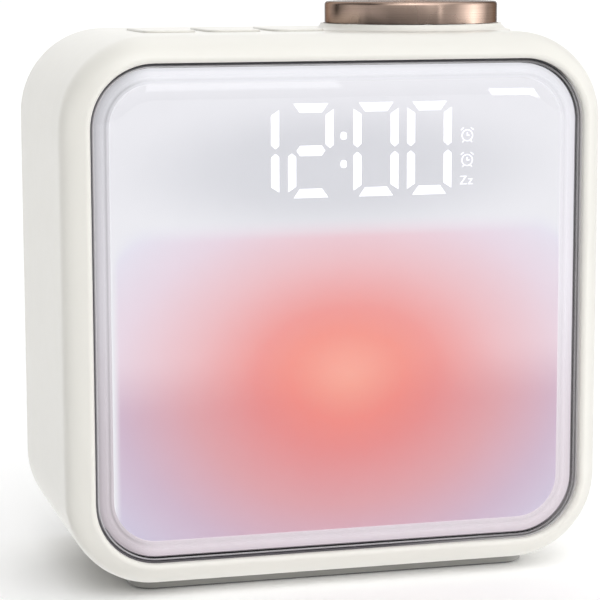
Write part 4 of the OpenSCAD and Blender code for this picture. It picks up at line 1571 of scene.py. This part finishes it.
@dataclass
class Surround:
    """Soft white tent whose brightness changes with direction.

    It has a row of walls level with the clock, one a step of height above and one two steps above,
    and the brightness changes evenly from wall to wall, from row to row, and up to the overhead.
    """

    level: Tuple[Wall, ...] = (
        Wall(-180.0, -165.0, 1.35), Wall(-135.0, -135.0, 0.0), Wall(-105.0, -75.0, 0.85),
        Wall(-45.0, 15.0, 0.25), Wall(45.0, 45.0, 0.8), Wall(75.0, 75.0, 2.75), Wall(105.0, 105.0, 0.5),
        Wall(165.0, 180.0, 1.35),
    )
    raised: Tuple[Wall, ...] = (
        Wall(-180.0, -165.0, 1.2), Wall(-135.0, -75.0, 0.05), Wall(-45.0, -15.0, 1.0), Wall(15.0, 15.0, 1.65),
        Wall(45.0, 45.0, 0.2), Wall(75.0, 105.0, 0.95), Wall(135.0, 135.0, 0.1), Wall(165.0, 180.0, 1.2),
    )
    high: Tuple[Wall, ...] = (
        Wall(-180.0, -180.0, 1.3), Wall(-135.0, -75.0, 0.0), Wall(-15.0, -15.0, 4.0), Wall(45.0, 45.0, 1.5),
        Wall(105.0, 105.0, 0.85), Wall(165.0, 165.0, 1.7), Wall(180.0, 180.0, 1.3),
    )
    overhead: float = 0.9
    peak: float = 6.0
    step: float = 30.0

    def hang(self) -> None:
        """Makes the world."""
        world = bpy.data.worlds.new("studio_tent")
        bpy.context.scene.world = world
        world.use_nodes = True
        wiring = Wiring(world.node_tree)
        output = wiring.tree.nodes.new("ShaderNodeOutputWorld")
        glow = wiring.tree.nodes.new("ShaderNodeBackground")
        glow.inputs["Color"].default_value = WHITE
        wiring.link(glow.outputs[0], output.inputs["Surface"])
        x, y, z = wiring.split(wiring.tree.nodes.new("ShaderNodeTexCoord").outputs["Generated"])
        bearing = wiring.math("ARCTAN2", x, wiring.math("MULTIPLY", y, -1.0))
        round_about = wiring.spread(bearing, -math.pi, math.pi)
        height = wiring.math("DIVIDE", wiring.math("ARCSINE", z), math.radians(self.step))
        rows = [wiring.ramp(round_about, self.stops(walls)) for walls in (self.level, self.raised, self.high)]
        total = rows[0]
        for count, above in enumerate(rows[1:] + [self.overhead / self.peak]):
            share = wiring.math("SUBTRACT", height, float(count), clamp=True)
            rise = wiring.math("MULTIPLY", wiring.math("SUBTRACT", above, total), share)
            total = wiring.math("ADD", total, rise)
        wiring.link(wiring.math("MULTIPLY", total, self.peak), glow.inputs["Strength"])

    def stops(self, walls: Sequence[Wall]) -> List[Tuple[float, Colour]]:
        """Turns a row of walls into stops, as shares of the way round and of the peak.

        Args:
            walls: The walls, from the back round by the left, the front and the right.

        Returns:
            Place and grey of each stop.
        """
        stops = []
        for wall in walls:
            share = wall.brightness / self.peak
            for bearing in sorted({wall.start, wall.end}):
                stops.append(((bearing + 180.0) / 360.0, (share, share, share, 1.0)))
        return stops


@dataclass
class Studio:
    """Camera, lamps, pale floor and soft surroundings."""

    camera_place: Point = (-0.16245, -0.59619, 0.16246)
    azimuth: float = 15.077
    down: float = 8.498
    roll: float = -0.143
    lens: float = 137.90
    sensor: float = 36.0
    sight: Pair = (0.01, 30.0)
    surround: Surround = field(default_factory=Surround)
    lamps: Tuple[Softbox, ...] = (
        Softbox(
            "short_strip", place=(0.3747, -0.8752, 0.1486), aim=(0.0485, -0.0365, 0.1345),
            size=(0.06, 0.082), power=0.108,
        ),
        Softbox(
            "long_strip", place=(0.1636, -0.8976, 0.3082), aim=(-0.034, -0.0365, 0.1365),
            size=(0.17, 0.12), power=0.07,
        ),
    )
    floor_half: float = 14.0
    floor_tones: Tuple[Colour, Colour] = ((0.93, 0.93, 0.93, 1.0), (0.95, 0.95, 0.95, 1.0))
    floor_clouds: Noise = Noise(6.0)
    floor_roughness: float = 0.7
    floor_shine: float = 0.2
    floor_glow: float = 0.12
    # Middle and reach of the painted shadow on the floor, where its glow fades out.
    painted_shadow_middle: Pair = (-60.0 * MM, -10.0 * MM)
    painted_shadow_reach: Pair = (8.0 * MM, 42.0 * MM)
    bounces: int = 12
    clear_bounces: int = 10

    def build(self) -> None:
        """Sets up everything round the clock."""
        self.surround.hang()
        self.floor()
        for lamp in self.lamps:
            lamp.light()
        self.camera()
        scene = bpy.context.scene
        scene.view_settings.view_transform = "Standard"
        scene.view_settings.look = "None"
        scene.cycles.use_denoising = True
        scene.cycles.max_bounces = self.bounces
        scene.cycles.transmission_bounces = self.clear_bounces
        LOG.info("studio with %d lamps", len(self.lamps))

    def floor(self) -> None:
        """Lays the pale floor, which glows a little except round a fixed spot by the clock's lower left,
        where the missing glow paints the clock's deepest shadow.
        """
        bm = bmesh.new()
        bmesh.ops.create_grid(bm, x_segments=1, y_segments=1, size=self.floor_half)
        mesh = bpy.data.meshes.new("pale_floor")
        bm.to_mesh(mesh)
        bm.free()
        floor = bpy.data.objects.new("pale_floor", mesh)
        bpy.context.scene.collection.objects.link(floor)
        bench = Bench("pale_floor")
        x, y, _ = bench.axes()
        # The glow fades out round a fixed spot near the clock: a painted shadow.
        sides = (bench.math("SUBTRACT", value, at) for value, at in zip((x, y), self.painted_shadow_middle))
        away = bench.length(*sides)
        bench.set(
            Base_Color=bench.blend(bench.noise(self.floor_clouds), *self.floor_tones),
            Roughness=self.floor_roughness,
            Specular_IOR_Level=self.floor_shine,
            Emission_Color=WHITE,
            Emission_Strength=bench.spread(away, *self.painted_shadow_reach, 0.0, self.floor_glow, smooth=True),
        )
        floor.data.materials.append(bench.material)
        floor.visible_glossy = False

    def camera(self) -> None:
        """Places the camera."""
        az, el, roll = (math.radians(v) for v in (self.azimuth, self.down, self.roll))
        ahead = Vector((math.sin(az) * math.cos(el), math.cos(az) * math.cos(el), -math.sin(el)))
        right = Vector((math.cos(az), -math.sin(az), 0.0))
        up = right.cross(ahead)
        tilted_right = right * math.cos(roll) + up * math.sin(roll)
        tilted_up = up * math.cos(roll) - right * math.sin(roll)
        data = bpy.data.cameras.new("camera")
        data.lens = self.lens
        data.sensor_width = self.sensor
        data.clip_start, data.clip_end = self.sight
        camera = bpy.data.objects.new("camera", data)
        bpy.context.scene.collection.objects.link(camera)
        turn = Matrix((tilted_right, tilted_up, -ahead)).transposed()
        camera.matrix_world = Matrix.Translation(self.camera_place) @ turn.to_4x4()
        bpy.context.scene.camera = camera


def main() -> None:
    """Builds and dresses the clock."""
    logging.basicConfig(level=logging.INFO, format="%(name)s: %(message)s")
    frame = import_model()
    case = Case()
    knob = Knob(case)
    glow = SunriseGlow(
        "sunrise_glow", centre=(2.0 * MM, case.middle - 17.4 * MM), window_half=60.1 * MM,
        window_top=case.middle + 20.5 * MM, window_corner=9.0 * MM, middle_x=1.4 * MM,
        display_middle=(-1.0 * MM, case.middle + 36.0 * MM),
    )
    book = FinishBook(case, knob.axis, glow)
    book.dress_nodes(frame)
    frame["nodes"]["housing_shell"].visible_glossy = False
    lens = Lens(case)
    lens.build(book)
    RimBand(case, lens).build(book)
    knob.build(book)
    Buttons(case).build(book)
    Speaker(case).build(book)
    Studio().build()


if __name__ == "__main__":
    main()
